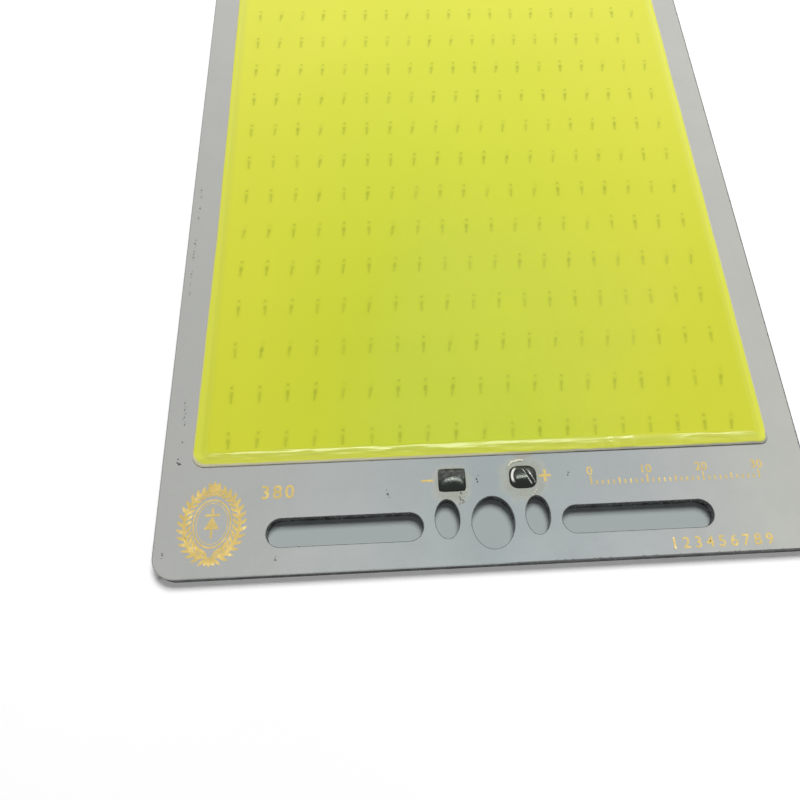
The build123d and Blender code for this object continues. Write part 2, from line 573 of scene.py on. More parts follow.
@dataclass(frozen=True)
class SolderMask(Finish):
    """Grey satin solder mask: uneven in tone, scuffed, dark at the cut edges, stained by flux."""

    name: str = "grey_solder_mask"
    tone_reach: float = 62.0
    tones: tuple[tuple[float, Paint], ...] = (
        (0.0, paint(0.408, 0.412, 0.388)),
        (0.22, paint(0.385, 0.413, 0.408)),
        (0.5, paint(0.298, 0.352, 0.352)),
        (0.8, paint(0.376, 0.404, 0.408)),
        (1.0, paint(0.490, 0.495, 0.448)),
    )
    far: Paint = paint(0.62, 0.61, 0.57)
    scuffed: Paint = paint(0.33, 0.35, 0.35)
    grainy: Paint = paint(0.56, 0.57, 0.57)
    fluxed: Paint = paint(0.47, 0.46, 0.33)
    burnt: Paint = paint(0.26, 0.21, 0.12)
    specked: Paint = paint(0.07, 0.07, 0.065)
    edged: Paint = paint(0.022, 0.024, 0.023)
    negative_flux: Stain = Stain(-6.7, -95.9, 3.3, 3.9)
    positive_flux: Stain = Stain(6.0, -95.3, 4.3, 4.3)
    burn: Stain = Stain(6.0, -91.15, 1.7, 0.6)

    def cut_edges(self, wires: Wiring, place: Feed) -> Socket:
        """Finds a dark line round the holes and along the board's outline, uneven in width and
        fainter along the left half of the outline.

        Args:
            wires: The material's wiring.
            place: Object coordinates in millimetres.

        Returns:
            1 at an edge.
        """
        x, _, _ = wires.parts(place)
        gap = self.effects.hole_distance.place(wires, Place=place)
        chips = wires.step(wires.noise(place, 0.5, 4.0), 0.52, 0.72, 0.0, 0.22)
        rim = wires.step(gap, wires.math("MULTIPLY_ADD", chips, 0.7, 0.13), 0.05)
        radius = PLAN.corner_radius
        straight = (PLAN.width / 2 - radius, PLAN.length / 2 - radius, PLAN.top + radius)
        past = wires.vector("SUBTRACT", wires.vector("ABSOLUTE", place), straight)
        reach = wires.vector("LENGTH", wires.vector("MAXIMUM", past, (0.0, 0.0, 0.0)))
        cut = wires.step(wires.less(radius, reach), wires.math("ADD", chips, 0.21), 0.12)
        return wires.most(rim, wires.times(cut, wires.step(x, 0.0, 4.0, 0.35, 1.0)))

    def feeds(self, wires: Wiring, place: Socket) -> dict[str, Feed]:
        """Makes what goes into the shader; see Finish.feeds."""
        x, y, _ = wires.parts(place)
        patches = self.mottle(wires, place, 9.0)
        grain = wires.noise(place, 0.32, 3.0)
        stains = (self.negative_flux, self.positive_flux)
        flux = wires.most(*(stain.lay(wires, place) for stain in stains))
        specks = self.effects.specks.place(wires, Place=place, Spacing=4.2, Radius=0.13, Share=0.07)
        tone = wires.ramp(wires.step(x, -self.tone_reach, self.tone_reach), self.tones)
        layers = (
            (wires.step(y, -90.0, 40.0, 0.0, 0.28), self.far),
            (wires.step(patches, 0.2, 0.8, 0.0, 0.16), self.scuffed),
            (wires.step(grain, 0.2, 0.8, 0.0, 0.10), self.grainy),
            (wires.times(flux, 0.3), self.fluxed),
            (wires.times(self.burn.lay(wires, place), 0.3), self.burnt),
            (wires.times(specks, 0.75), self.specked),
            (wires.times(self.cut_edges(wires, place), 0.92), self.edged),
        )
        for share, colour in layers:
            tone = wires.mix(share, tone, colour)
        waves = wires.noise(place, 0.9, 2.0)
        relief = wires.math("MULTIPLY_ADD", waves, 0.6, wires.times(grain, 0.4))
        rough = wires.step(patches, 0.2, 0.8, 0.40, 0.52)
        return {
            "Base Color": tone,
            "Roughness": wires.math("MULTIPLY_ADD", flux, -0.22, rough),
            "Normal": wires.bump(relief, 0.02),
        }


@dataclass(frozen=True)
class PlateAluminium(Finish):
    """Aluminium plate: brushed along its length on the back, dark and torn on the punched walls,
    their dark tone partly grime and partly a painted shade.
    """

    name: str = "plate_aluminium"
    metallic: float = 1.0
    brushed_dark: Paint = paint(0.60, 0.61, 0.62)
    brushed_pale: Paint = paint(0.80, 0.81, 0.82)
    cloudy: Paint = paint(0.52, 0.53, 0.54)
    torn_dark: Paint = paint(0.11, 0.115, 0.115)
    torn_pale: Paint = paint(0.48, 0.50, 0.50)
    grimy: Paint = paint(0.03, 0.033, 0.032)

    def feeds(self, wires: Wiring, place: Socket) -> dict[str, Feed]:
        """Makes what goes into the shader; see Finish.feeds."""
        _, _, up = wires.parts(wires.node("ShaderNodeTexCoord").outputs["Normal"])
        wall = wires.step(wires.math("ABSOLUTE", up), 0.8, 0.3)
        brushed = wires.noise(wires.vector("MULTIPLY", place, (1.0, 0.03, 1.0)), 0.12, 4.0)
        clouds = wires.step(self.mottle(wires, place, 14.0), 0.3, 0.9, 0.0, 0.3)
        back = wires.mix(brushed, self.brushed_dark, self.brushed_pale)
        back = wires.mix(clouds, back, self.cloudy)
        # The walls' dark tone is partly a painted shade: torn metal, then grime and painted shade
        # in patches, most on the outer walls away from the holes.
        torn = wires.noise(wires.vector("MULTIPLY", place, (1.0, 1.0, 0.22)), 0.16, 4.0, 0.4)
        cut = wires.mix(wires.step(torn, 0.40, 0.74), self.torn_dark, self.torn_pale)
        grime_and_shade = wires.step(wires.noise(place, 1.8, 3.0), 0.42, 0.7, 0.0, 0.75)
        gap = self.effects.hole_distance.place(wires, Place=place)
        for share in (grime_and_shade, wires.step(gap, 0.2, 1.0, 0.0, 0.6)):
            cut = wires.mix(share, cut, self.grimy)
        rough = wires.step(brushed, 0.2, 0.8, 0.24, 0.38)
        relief = wires.math("MULTIPLY_ADD", brushed, 0.12, wires.times(torn, wall))
        return {
            "Base Color": wires.mix(wall, back, cut),
            "Roughness": wires.math("MULTIPLY_ADD", wall, 0.22, rough),
            "Normal": wires.bump(relief, 0.05),
        }


@dataclass(frozen=True)
class FilledResin(Finish):
    """The thin insulating layer, which shows only as a line on the walls."""

    name: str = "filled_resin"
    dark: Paint = paint(0.10, 0.10, 0.085)
    pale: Paint = paint(0.30, 0.30, 0.26)

    def feeds(self, wires: Wiring, place: Socket) -> dict[str, Feed]:
        """Makes what goes into the shader; see Finish.feeds."""
        grain = self.mottle(wires, place, 0.5)
        return {
            "Base Color": wires.mix(wires.step(grain, 0.3, 0.8), self.dark, self.pale),
            "Roughness": wires.step(grain, 0.2, 0.8, 0.55, 0.75),
            "Normal": wires.bump(grain, 0.02),
        }


@dataclass(frozen=True)
class EtchedCopper(Finish):
    """Etched copper foil, a little tarnished, and tinned round the joints."""

    name: str = "etched_copper"
    metallic: float = 1.0
    clean: Paint = paint(0.75, 0.40, 0.24)
    tarnished: Paint = paint(0.42, 0.20, 0.12)
    tinned: Paint = paint(0.16, 0.17, 0.15)
    tin_x: float = 6.2
    tin_radius: float = 5.0

    def feeds(self, wires: Wiring, place: Socket) -> dict[str, Feed]:
        """Makes what goes into the shader; see Finish.feeds."""
        tarnish = self.mottle(wires, place, 2.5)
        tone = wires.mix(wires.step(tarnish, 0.3, 0.9), self.clean, self.tarnished)
        x, y, _ = wires.parts(place)
        off = wires.less(wires.math("ABSOLUTE", x), self.tin_x)
        reach = wires.vector("LENGTH", wires.join(off, wires.less(y, PLAN.joint_y)))
        tin = wires.step(reach, self.tin_radius + 0.5, self.tin_radius - 0.5)
        return {
            "Base Color": wires.mix(tin, tone, self.tinned),
            "Roughness": wires.step(tarnish, 0.2, 0.9, 0.28, 0.5),
            "Normal": wires.bump(wires.noise(place, 0.15, 3.0), 0.01),
        }


@dataclass(frozen=True)
class SapphireChip(Finish):
    """A sapphire LED chip: blue violet, with a pale bond pad near each end."""

    name: str = "sapphire_chip"
    ior: float = 1.77
    blue: Paint = paint(0.10, 0.14, 0.42)
    violet: Paint = paint(0.24, 0.22, 0.60)
    bond_pad: Paint = paint(0.80, 0.72, 0.50)
    pad_y: float = 0.28

    def feeds(self, wires: Wiring, place: Socket) -> dict[str, Feed]:
        """Makes what goes into the shader; see Finish.feeds."""
        _, y, _ = wires.parts(place)
        along = wires.math("FRACT", wires.math("DIVIDE", y, PLAN.row_pitch))
        off = wires.math("ABSOLUTE", wires.times(wires.less(along, 0.5), PLAN.row_pitch))
        pad = wires.step(wires.away(off, self.pad_y), 0.09, 0.05)
        body = wires.mix(wires.noise(place, 0.2, 2.0), self.blue, self.violet)
        return {
            "Base Color": wires.mix(pad, body, self.bond_pad),
            "Roughness": wires.step(pad, 0.0, 1.0, 0.08, 0.3),
            "Normal": wires.bump(pad, 0.004),
        }


@dataclass(frozen=True)
class PhosphorSilicone(Finish):
    """Glossy yellow silicone over the chips, which show as short olive marks."""

    name: str = "phosphor_silicone"
    ior: float = 1.42
    olive: Paint = paint(0.22, 0.28, 0.0)
    dusty: Paint = paint(0.05, 0.05, 0.02)

    def feeds(self, wires: Wiring, place: Socket) -> dict[str, Feed]:
        """Makes what goes into the shader; see Finish.feeds."""
        tint = self.effects.phosphor_tint.place(wires, Place=place)
        mark = self.effects.chip_shadow.place(wires, Place=place)
        tint = wires.mix(wires.times(mark, 0.56), tint, self.olive)
        dust = self.effects.specks.place(wires, Place=place, Spacing=7.0, Radius=0.12, Share=0.05)
        return {
            "Base Color": wires.mix(wires.times(dust, 0.6), tint, self.dusty),
            "Roughness": wires.step(self.mottle(wires, place, 6.0), 0.2, 0.8, 0.12, 0.2),
            "Normal": wires.bump(wires.noise(place, 2.6, 1.0), 0.008),
        }


@dataclass(frozen=True)
class DamSilicone(Finish):
    """The bead round the phosphor: a milky foot, and yellow where the fill has run over it."""

    name: str = "dam_silicone"
    ior: float = 1.42
    lit: Paint = paint(0.84, 0.88, 0.11)
    lit_deep: Paint = paint(0.74, 0.80, 0.14)
    milky: Paint = paint(0.66, 0.63, 0.43)
    shaded_milky: Paint = paint(0.42, 0.42, 0.33)
    contact: Paint = paint(0.16, 0.15, 0.12)
    front_ys: tuple[float, float] = (-87.6, -89.6)
    shade_xs: tuple[float, float] = (-8.0, 26.0)
    contact_heights: tuple[float, float] = (2.10, 2.24)
    foot_heights: tuple[float, float] = (2.22, 2.34)
    slope_heights: tuple[float, float] = (2.56, 2.74)
    crest_heights: tuple[float, float] = (2.84, 2.94)
    front_reach: float = 50.0
    front_dullness: tuple[tuple[float, float], ...] = (
        (-50.0, 0.05),
        (-15.0, 0.04),
        (12.0, 0.10),
        (19.8, 0.18),
        (20.7, 0.34),
        (21.2, 0.0),
        (22.3, 0.0),
        (22.8, 0.34),
        (23.4, 0.34),
        (23.9, 0.0),
        (25.8, 0.0),
        (26.6, 0.5),
        (32.5, 0.5),
        (35.5, 0.08),
        (44.0, 0.10),
        (50.0, 0.40),
    )

    def colour(self, wires: Wiring, place: Feed, front: Feed, height: Feed) -> Socket:
        """Paints the bead by height: a painted contact shadow, the milky foot with painted shade on
        the front right, the slope with painted light, and the top.

        Args:
            wires: The material's wiring.
            place: Object coordinates in millimetres.
            front: 1 on the front side and 0 elsewhere.
            height: The height in millimetres, a little uneven.

        Returns:
            The colour.
        """
        x, _, _ = wires.parts(place)
        tint = self.effects.phosphor_tint.place(wires, Place=place)
        # The slope is painted light: lit low down and lit_deep above it, most on the front.
        bright = wires.mix(wires.step(front, 0.0, 1.0, 0.4, 0.65), tint, self.lit)
        deep = wires.mix(wires.step(front, 0.0, 1.0, 0.12, 0.5), tint, self.lit_deep)
        slope = wires.mix(wires.step(height, *self.slope_heights), bright, deep)
        tint = wires.mix(wires.step(height, *self.crest_heights), slope, tint)
        foot = wires.step(front, 0.0, 1.0, *self.foot_heights)
        soft = wires.step(front, 0.0, 1.0, 0.11, 0.05)
        share = wires.step(height, wires.less(foot, 0.04), wires.math("ADD", foot, soft))
        # shaded is painted shade on the front foot and its contact shadow, growing towards the
        # right.
        shaded = wires.times(wires.step(x, *self.shade_xs), front)
        tint = wires.mix(share, wires.mix(shaded, self.milky, self.shaded_milky), tint)
        line = wires.step(shaded, 0.0, 1.0, *self.contact_heights)
        return wires.mix(wires.step(height, line, wires.less(line, 0.07)), tint, self.contact)

    def feeds(self, wires: Wiring, place: Socket) -> dict[str, Feed]:
        """Makes what goes into the shader; see Finish.feeds."""
        x, y, z = wires.parts(place)
        front = wires.step(y, *self.front_ys)
        wander = wires.less(wires.noise(place, 3.5, 2.0), 0.5)
        height = wires.math("ADD", z, wires.times(wander, 0.12))
        dull = wires.times(wires.step(front, 1.0, 0.0), wires.step(height, 2.55, 2.35, 0.0, 0.5))
        whole = 2 * self.front_reach
        stops = [
            ((across + self.front_reach) / whole, paint(level, level, level))
            for across, level in self.front_dullness
        ]
        faint = wires.ramp(wires.math("MULTIPLY_ADD", x, 1 / whole, 0.5), stops)
        dull = wires.math("MULTIPLY_ADD", faint, front, dull)
        slick = wires.step(self.mottle(wires, place, 4.0), 0.2, 0.8, 0.08, 0.16)
        streaks = wires.noise(wires.vector("MULTIPLY", place, (0.2, 1.1, 1.1)), 1.0, 1.0)
        ripples = wires.noise(place, 1.6, 1.0)
        relief = wires.math("MULTIPLY_ADD", wires.times(streaks, front), 17.0, ripples)
        return {
            "Base Color": self.colour(wires, place, front, height),
            "Roughness": wires.math("ADD", slick, dull),
            "Normal": wires.bump(relief, 0.006),
        }


@dataclass(frozen=True)
class DarkTin(Finish):
    """Dark tin solder: glossy in front, frosted with fine crystals behind, with painted highlights
    and a painted groove shade on the positive joint.
    """

    name: str = "dark_tin"
    metallic: float = 1.0
    frost: float = 0.5
    polish: float = 0.26
    # groove: whether the painted highlights and the painted groove shade are added.
    groove: bool = False
    half_width: float = 2.4
    half_depth: float = 2.07
    dark: Paint = paint(0.024, 0.028, 0.024)
    crystal_dark: Paint = paint(0.07, 0.077, 0.07)
    crystal_pale: Paint = paint(0.20, 0.21, 0.19)
    # bright is the colour of the painted highlights, black that of the painted shade in the groove.
    bright: Paint = paint(0.80, 0.80, 0.76)
    black: Paint = paint(0.004, 0.005, 0.004)

    def feeds(self, wires: Wiring, place: Socket) -> dict[str, Feed]:
        """Makes what goes into the shader; see Finish.feeds."""
        _, y, _ = wires.parts(place)
        patches = self.mottle(wires, place, 0.8)
        behind = wires.step(y, PLAN.joint_y - 0.9, PLAN.joint_y + 0.5)
        frost = wires.times(wires.step(patches, 0.25, 0.75, 0.25, 1.0), behind)
        crystals = wires.step(wires.noise(place, 0.22, 3.0, 0.5), 0.3, 0.75)
        pale = wires.mix(crystals, self.crystal_dark, self.crystal_pale)
        tone = wires.mix(wires.times(frost, self.frost), self.dark, pale)
        return {
            "Base Color": self.cleaned(wires, place, tone) if self.groove else tone,
            "Roughness": wires.step(patches, 0.3, 0.9, self.polish - 0.05, self.polish + 0.07),
            "Normal": wires.bump(wires.noise(place, 0.3, 3.0), 0.02),
        }

    def cleaned(self, wires: Wiring, place: Feed, tone: Feed) -> Socket:
        """Paints highlights on the positive joint, a crescent at its left and lips beside its
        groove, and paints shade near black in the groove.

        Args:
            wires: The material's wiring.
            place: Object coordinates in millimetres.
            tone: The dark tin's tone.

        Returns:
            The new tone.
        """
        off = wires.vector("SUBTRACT", place, (PLAN.positive_x, PLAN.joint_y, PLAN.top))
        shares = (1 / self.half_width, 1 / self.half_depth, 1.0)
        u, v, height = wires.parts(wires.vector("MULTIPLY", off, shares))
        reach = wires.vector("LENGTH", wires.join(wires.math("ADD", u, 0.05), wires.times(v, 0.8)))
        ring = wires.step(wires.away(reach, 0.76), 0.11, 0.04)
        left = wires.times(wires.step(u, -0.40, -0.60), wires.step(v, -0.6, -0.2))
        line = wires.math("MULTIPLY_ADD", v, -PLAN.groove_slant, PLAN.groove_offset)
        cross = wires.less(u, line)
        lip_highlight = wires.step(wires.away(cross, -0.14), 0.10, 0.03, 0.0, 0.7)
        lobe = wires.step(wires.away(cross, 0.20), 0.10, 0.02, 0.0, 0.30)
        ends = wires.step(wires.away(v, -0.05), 0.7, 0.5)
        broken = wires.step(wires.noise(place, 0.35, 2.0), 0.36, 0.52)
        lip_highlights = wires.times(wires.times(wires.most(lip_highlight, lobe), ends), broken)
        # clean holds the painted highlights: the crescent and the lips.
        clean = wires.most(wires.times(ring, left), lip_highlights)
        clean = wires.times(clean, wires.step(height, 0.05, 0.15))
        # groove here is the painted shade along the groove.
        groove = wires.times(wires.step(wires.math("ABSOLUTE", cross), 0.07, 0.02), ends)
        return wires.mix(groove, wires.mix(clean, tone, self.bright), self.black)


@dataclass(frozen=True)
class FluxResin(Finish):
    """Dried flux: thin, glossy and yellowish, clear towards its rim."""

    name: str = "flux_resin"
    deep: Paint = paint(0.46, 0.49, 0.35)
    pale: Paint = paint(0.58, 0.58, 0.42)

    def feeds(self, wires: Wiring, place: Socket) -> dict[str, Feed]:
        """Makes what goes into the shader; see Finish.feeds."""
        cloud = self.mottle(wires, place, 1.8)
        return {
            "Base Color": wires.mix(wires.step(cloud, 0.3, 0.8), self.deep, self.pale),
            "Roughness": wires.step(cloud, 0.2, 0.9, 0.1, 0.24),
            "Alpha": wires.step(cloud, 0.35, 0.9, 0.04, 0.3),
            "Normal": wires.bump(wires.noise(place, 1.1, 1.0), 0.012),
        }


@dataclass(frozen=True)
class FluxCrust(Finish):
    """Whitish crusted flux."""

    name: str = "flux_crust"
    cream: Paint = paint(0.76, 0.74, 0.58)
    white: Paint = paint(0.90, 0.89, 0.82)

    def feeds(self, wires: Wiring, place: Socket) -> dict[str, Feed]:
        """Makes what goes into the shader; see Finish.feeds."""
        cloud = self.mottle(wires, place, 0.35)
        return {
            "Base Color": wires.mix(wires.step(cloud, 0.3, 0.9), self.cream, self.white),
            "Roughness": wires.step(cloud, 0.2, 0.9, 0.25, 0.5),
            "Normal": wires.bump(wires.noise(place, 0.2, 3.0), 0.03),
        }


@dataclass(frozen=True)
class GoldPrint(Finish):
    """Thin gold-coloured marking, worn so that it glints in places."""

    name: str = "gold_print"
    brown: Paint = paint(0.52, 0.38, 0.10)
    gold: Paint = paint(0.70, 0.50, 0.13)
    faded: Paint = paint(0.46, 0.42, 0.30)
    shining: Paint = paint(0.90, 0.84, 0.42)

    def feeds(self, wires: Wiring, place: Socket) -> dict[str, Feed]:
        """Makes what goes into the shader; see Finish.feeds."""
        worn = self.mottle(wires, place, 1.3)
        dots = wires.noise(place, 0.18, 3.0)
        tone = wires.mix(wires.step(worn, 0.25, 0.75), self.brown, self.gold)
        tone = wires.mix(wires.step(dots, 0.5, 0.72, 0.0, 0.6), tone, self.faded)
        bright = wires.times(wires.step(worn, 0.55, 0.85), wires.step(dots, 0.45, 0.6))
        return {
            "Base Color": wires.mix(wires.times(bright, 0.5), tone, self.shining),
            "Metallic": wires.step(bright, 0.0, 1.0, 0.15, 0.6),
            "Roughness": wires.step(bright, 0.0, 1.0, 0.45, 0.3),
            "Normal": wires.bump(dots, 0.01),
        }


@dataclass(frozen=True)
class GoldWire(Finish):
    """Drawn gold bond wire."""

    name: str = "gold_wire"
    metallic: float = 1.0
    deep: Paint = paint(0.80, 0.55, 0.20)
    pale: Paint = paint(0.95, 0.70, 0.30)

    def feeds(self, wires: Wiring, place: Socket) -> dict[str, Feed]:
        """Makes what goes into the shader; see Finish.feeds."""
        drawn = wires.noise(place, 0.05, 2.0)
        return {
            "Base Color": wires.mix(drawn, self.deep, self.pale),
            "Roughness": wires.step(drawn, 0.2, 0.8, 0.15, 0.3),
        }


@dataclass(frozen=True)
class DarkGrit(Finish):
    """Black grit and burnt flux crumbs."""

    name: str = "dark_grit"
    black: Paint = paint(0.03, 0.03, 0.03)
    grey: Paint = paint(0.14, 0.14, 0.13)

    def feeds(self, wires: Wiring, place: Socket) -> dict[str, Feed]:
        """Makes what goes into the shader; see Finish.feeds."""
        cloud = self.mottle(wires, place, 0.2)
        return {
            "Base Color": wires.mix(cloud, self.black, self.grey),
            "Roughness": wires.step(cloud, 0.2, 0.8, 0.4, 0.7),
        }


# ---------------------------------------------------------------- meshes


def verts_of(parts: Iterable[object]) -> list[bmesh.types.BMVert]:
    """Returns the vertices among an operator's results."""
    return [part for part in parts if isinstance(part, bmesh.types.BMVert)]


def new_faces(bm: BMesh, before: set[Face]) -> list[Face]:
    """Returns the faces that weren't there before."""
    return [face for face in bm.faces if face not in before]


def inset_faces(bm: BMesh, faces: Sequence[Face], width: float) -> list[Face]:
    """Insets faces together by a width, and returns the faces of the new rim."""
    settings = {"thickness": width, "use_even_offset": True, "use_boundary": True}
    return bmesh.ops.inset_region(bm, faces=faces, **settings)["faces"]


def close_up(bm: BMesh) -> None:
    """Fills a mesh's open ends and turns its faces outwards."""
    bmesh.ops.holes_fill(bm, edges=[edge for edge in bm.edges if edge.is_boundary])
    bmesh.ops.recalc_face_normals(bm, faces=bm.faces)


def to_object(bm: BMesh, name: str, material: Material) -> bpy.types.Object:
    """Adds a mesh to the scene as an object.

    Args:
        bm: The mesh, in metres. It is freed.
        name: The object's name.
        material: Its finish.

    Returns:
        The object.
    """
    mesh = bpy.data.meshes.new(name)
    bm.to_mesh(mesh)
    bm.free()
    mesh.materials.append(material)
    made = bpy.data.objects.new(name, mesh)
    bpy.context.scene.collection.objects.link(made)
    return made


def finish_piece(
    bm: BMesh,
    name: str,
    material: Material,
    replaces: Sequence[str] = (),
    smooth: bool = True,
) -> bpy.types.Object:
    """Turns a mesh in millimetres into a piece that rides on the board.

    Args:
        bm: The mesh, in place. It is freed.
        name: The piece's name.
        material: Its finish.
        replaces: The CAD nodes that it stands for.
        smooth: Whether its faces are shaded smooth, up to its sharp edges.

    Returns:
        The piece.
    """
    bmesh.ops.scale(bm, vec=(MM, MM, MM), verts=bm.verts)
    for face in bm.faces:
        face.smooth = smooth
    for edge in bm.edges:
        edge.smooth = edge.calc_face_angle(0.0) < SHARP_ANGLE
    piece = to_object(bm, name, material)
    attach(piece, "root")
    if replaces:
        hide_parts(*replaces)
    LOG.info("%s: %d faces", name, len(piece.data.polygons))
    return piece


@dataclass(frozen=True)
class RimSpot:
    """A place on the pad's outline: a share of one side, or a direction from a corner's centre."""

    start: int
    end: int
    share: float
    normal: tuple[float, float]


@dataclass(frozen=True)
class PadOutline:
    """Outline of the silicone pad, and the lines inside it. Corner 0 is at the front left."""

    width: float = 101.8
    length: float = 181.8
    left_radius: float = 2.4
    right_radius: float = 1.4
    inner_radius: float = 0.6
    dam_width: float = 2.4
    least_radius: float = 0.3
    side_step: float = 0.55
    corner_steps: int = 10

    def corner(self, index: int, inset: float) -> tuple[Vector, float]:
        """Finds a corner of the line at an inset.

        Args:
            index: Which corner.
            inset: How far inside the outline the line runs.

        Returns:
            The corner's centre and radius.
        """
        side_x, side_y = ((-1, -1), (1, -1), (1, 1), (-1, 1))[index]
        outer = self.left_radius if side_x < 0 else self.right_radius
        shrunk = outer + (self.inner_radius - outer) * inset / self.dam_width
        radius = max(shrunk, self.least_radius)
        reach = inset + radius
        x, y = side_x * (self.width / 2 - reach), side_y * (self.length / 2 - reach)
        return Vector((x, y)), radius

    def spots(self) -> list[RimSpot]:
        """Walks round the outline.

        Returns:
            Its places in order, anticlockwise from the front left corner.
        """
        found = []
        for index in range(4):
            for turn in range(self.corner_steps):
                angle = math.radians(180 + 90 * (index + turn / self.corner_steps))
                found.append(RimSpot(index, index, 0.0, (math.cos(angle), math.sin(angle))))
            angle = math.radians(270 + 90 * index)
            count = round((self.length if index % 2 else self.width) / self.side_step)
            for step in range(count):
                normal = (round(math.cos(angle)), round(math.sin(angle)))
                found.append(RimSpot(index, (index + 1) % 4, step / count, normal))
        return found

    def place(self, spot: RimSpot, inset: float) -> Vector:
        """Finds a spot on the line at an inset.

        Args:
            spot: Where on the outline.
            inset: How far inside it the line runs.

        Returns:
            The place, in plan.
        """
        first, first_radius = self.corner(spot.start, inset)
        last, last_radius = self.corner(spot.end, inset)
        radius = first_radius + (last_radius - first_radius) * spot.share
        return first.lerp(last, spot.share) + radius * Vector(spot.normal)


@dataclass(frozen=True)
class SiliconeDam:
    """The bead round the phosphor, swept from its section, as uneven as a poured edge."""

    outline: PadOutline = PadOutline()
    section: tuple[tuple[float, float], ...] = (
        (2.80, 2.000),
        (0.09, 2.000),
        (0.02, 2.025),
        (0.00, 2.080),
        (0.02, 2.135),
        (0.07, 2.190),
        (0.15, 2.238),
        (0.26, 2.279),
        (0.42, 2.342),
        (0.65, 2.428),
        (0.95, 2.534),
        (1.25, 2.634),
        (1.55, 2.729),
        (1.80, 2.801),
        (1.95, 2.842),
        (2.07, 2.871),
        (2.18, 2.893),
        (2.28, 2.910),
        (2.38, 2.9242),
        (2.48, 2.9356),
        (2.58, 2.9438),
        (2.68, 2.9486),
        (2.80, 2.9500),
    )
    inner_inset: float = 2.8
    ridge_inset: float = 2.1
    wobble: float = 0.08
    swell: float = 0.018
    glints: tuple[float, ...] = (21.75, 24.9, 38.0)
    glint_width: float = 0.7
    glint_swell: float = 0.026
    flare: float = 0.6

    def build(self, material: Material) -> bpy.types.Object:
        """Makes the bead, which stands for the CAD dam.

        Args:
            material: Its finish.

        Returns:
            The piece.
        """
        spots = self.outline.spots()
        bm = bmesh.new()
        tag = bm.verts.layers.int.new("spot")
        ring = bmesh.ops.create_circle(bm, segments=len(spots), radius=1.0)["verts"]
        for number, vert in enumerate(ring):
            vert[tag] = number
        edges = first = list(bm.edges)
        for step, (inset, height) in enumerate(self.section):
            if step:
                made = bmesh.ops.extrude_edge_only(bm, edges=edges)["geom"]
                ring = verts_of(made)
                sides = [part for part in made if isinstance(part, bmesh.types.BMEdge)]
                edges = [edge for edge in sides if set(ring).issuperset(edge.verts)]
            for vert in ring:
                vert.co = self.swept(spots[vert[tag]], inset, height)
        bmesh.ops.bridge_loops(bm, edges=list(first) + list(edges))
        bmesh.ops.recalc_face_normals(bm, faces=bm.faces)
        return finish_piece(bm, "dam_bead", material, ["silicone_dam"])

    def swept(self, spot: RimSpot, inset: float, height: float) -> Vector:
        """Finds a point of the bead.

        Args:
            spot: Where on the outline.
            inset: How far inside it, in the section.
            height: The section's height there.

        Returns:
            The point.
        """
        base = self.outline.place(spot, 0.0)
        slow = noise.noise(Vector((base.x * 0.11, base.y * 0.11, 1.7)))
        quick = noise.noise(Vector((base.x * 0.42, base.y * 0.42, 8.1)))
        left = self.inner_inset - inset
        flank = clamped(left / 0.9) * clamped((height - PLAN.top) / 0.3)
        wobble = self.wobble * (0.6 * slow + 0.4 * quick) * flank * min(1.0, left)
        ridge = hump(inset - self.ridge_inset, 0.45)
        lift = self.swell * (0.5 * slow + 0.8 * quick) * flank * ridge
        if spot.normal[1] < -0.9:
            bulge = sum(hump(base.x - x, self.glint_width) for x in self.glints)
            lift += self.glint_swell * bulge * flank * ridge
        place = self.outline.place(spot, max(0.0, inset + wobble))
        outwards = clamped((-base.x - 40) / 8) * clamped((-base.y - 40) / 50)
        flare = self.flare * outwards * max(0.0, 1 - inset / self.inner_inset)
        return Vector((place.x - flare, place.y, height + lift))


@dataclass(frozen=True)
class PhosphorFace:
    """The phosphor silicone inside the bead: a slab whose top is very slightly uneven."""

    half_width: float = 48.22
    half_length: float = 88.22
    top: float = 2.948
    base: float = 1.95
    columns: int = 72
    rows: int = 132
    ripple: float = 0.014
    calm_rim: float = 4.0

    def build(self, material: Material) -> bpy.types.Object:
        """Makes the slab, which stands for the CAD fill.

        Args:
            material: Its finish.

        Returns:
            The piece.
        """
        bm = bmesh.new()
        columns, rows = self.columns, self.rows
        grid = bmesh.ops.create_grid(bm, x_segments=columns, y_segments=rows, size=1.0)
        for vert in grid["verts"]:
            x, y = vert.co.x * self.half_width, vert.co.y * self.half_length
            edge = min(self.half_width - abs(x), self.half_length - abs(y))
            slow = noise.noise(Vector((x * 0.07, y * 0.07, 5.0)))
            quick = noise.noise(Vector((x * 0.2, y * 0.2, 9.0)))
            wave = self.ripple * (slow + 0.4 * quick) * clamped(edge / self.calm_rim)
            vert.co = Vector((x, y, self.top + wave))
        rim = [edge for edge in bm.edges if edge.is_boundary]
        for vert in verts_of(bmesh.ops.extrude_edge_only(bm, edges=rim)["geom"]):
            vert.co.z = self.base
        close_up(bm)
        return finish_piece(bm, "phosphor_face", material, ["phosphor_fill"])


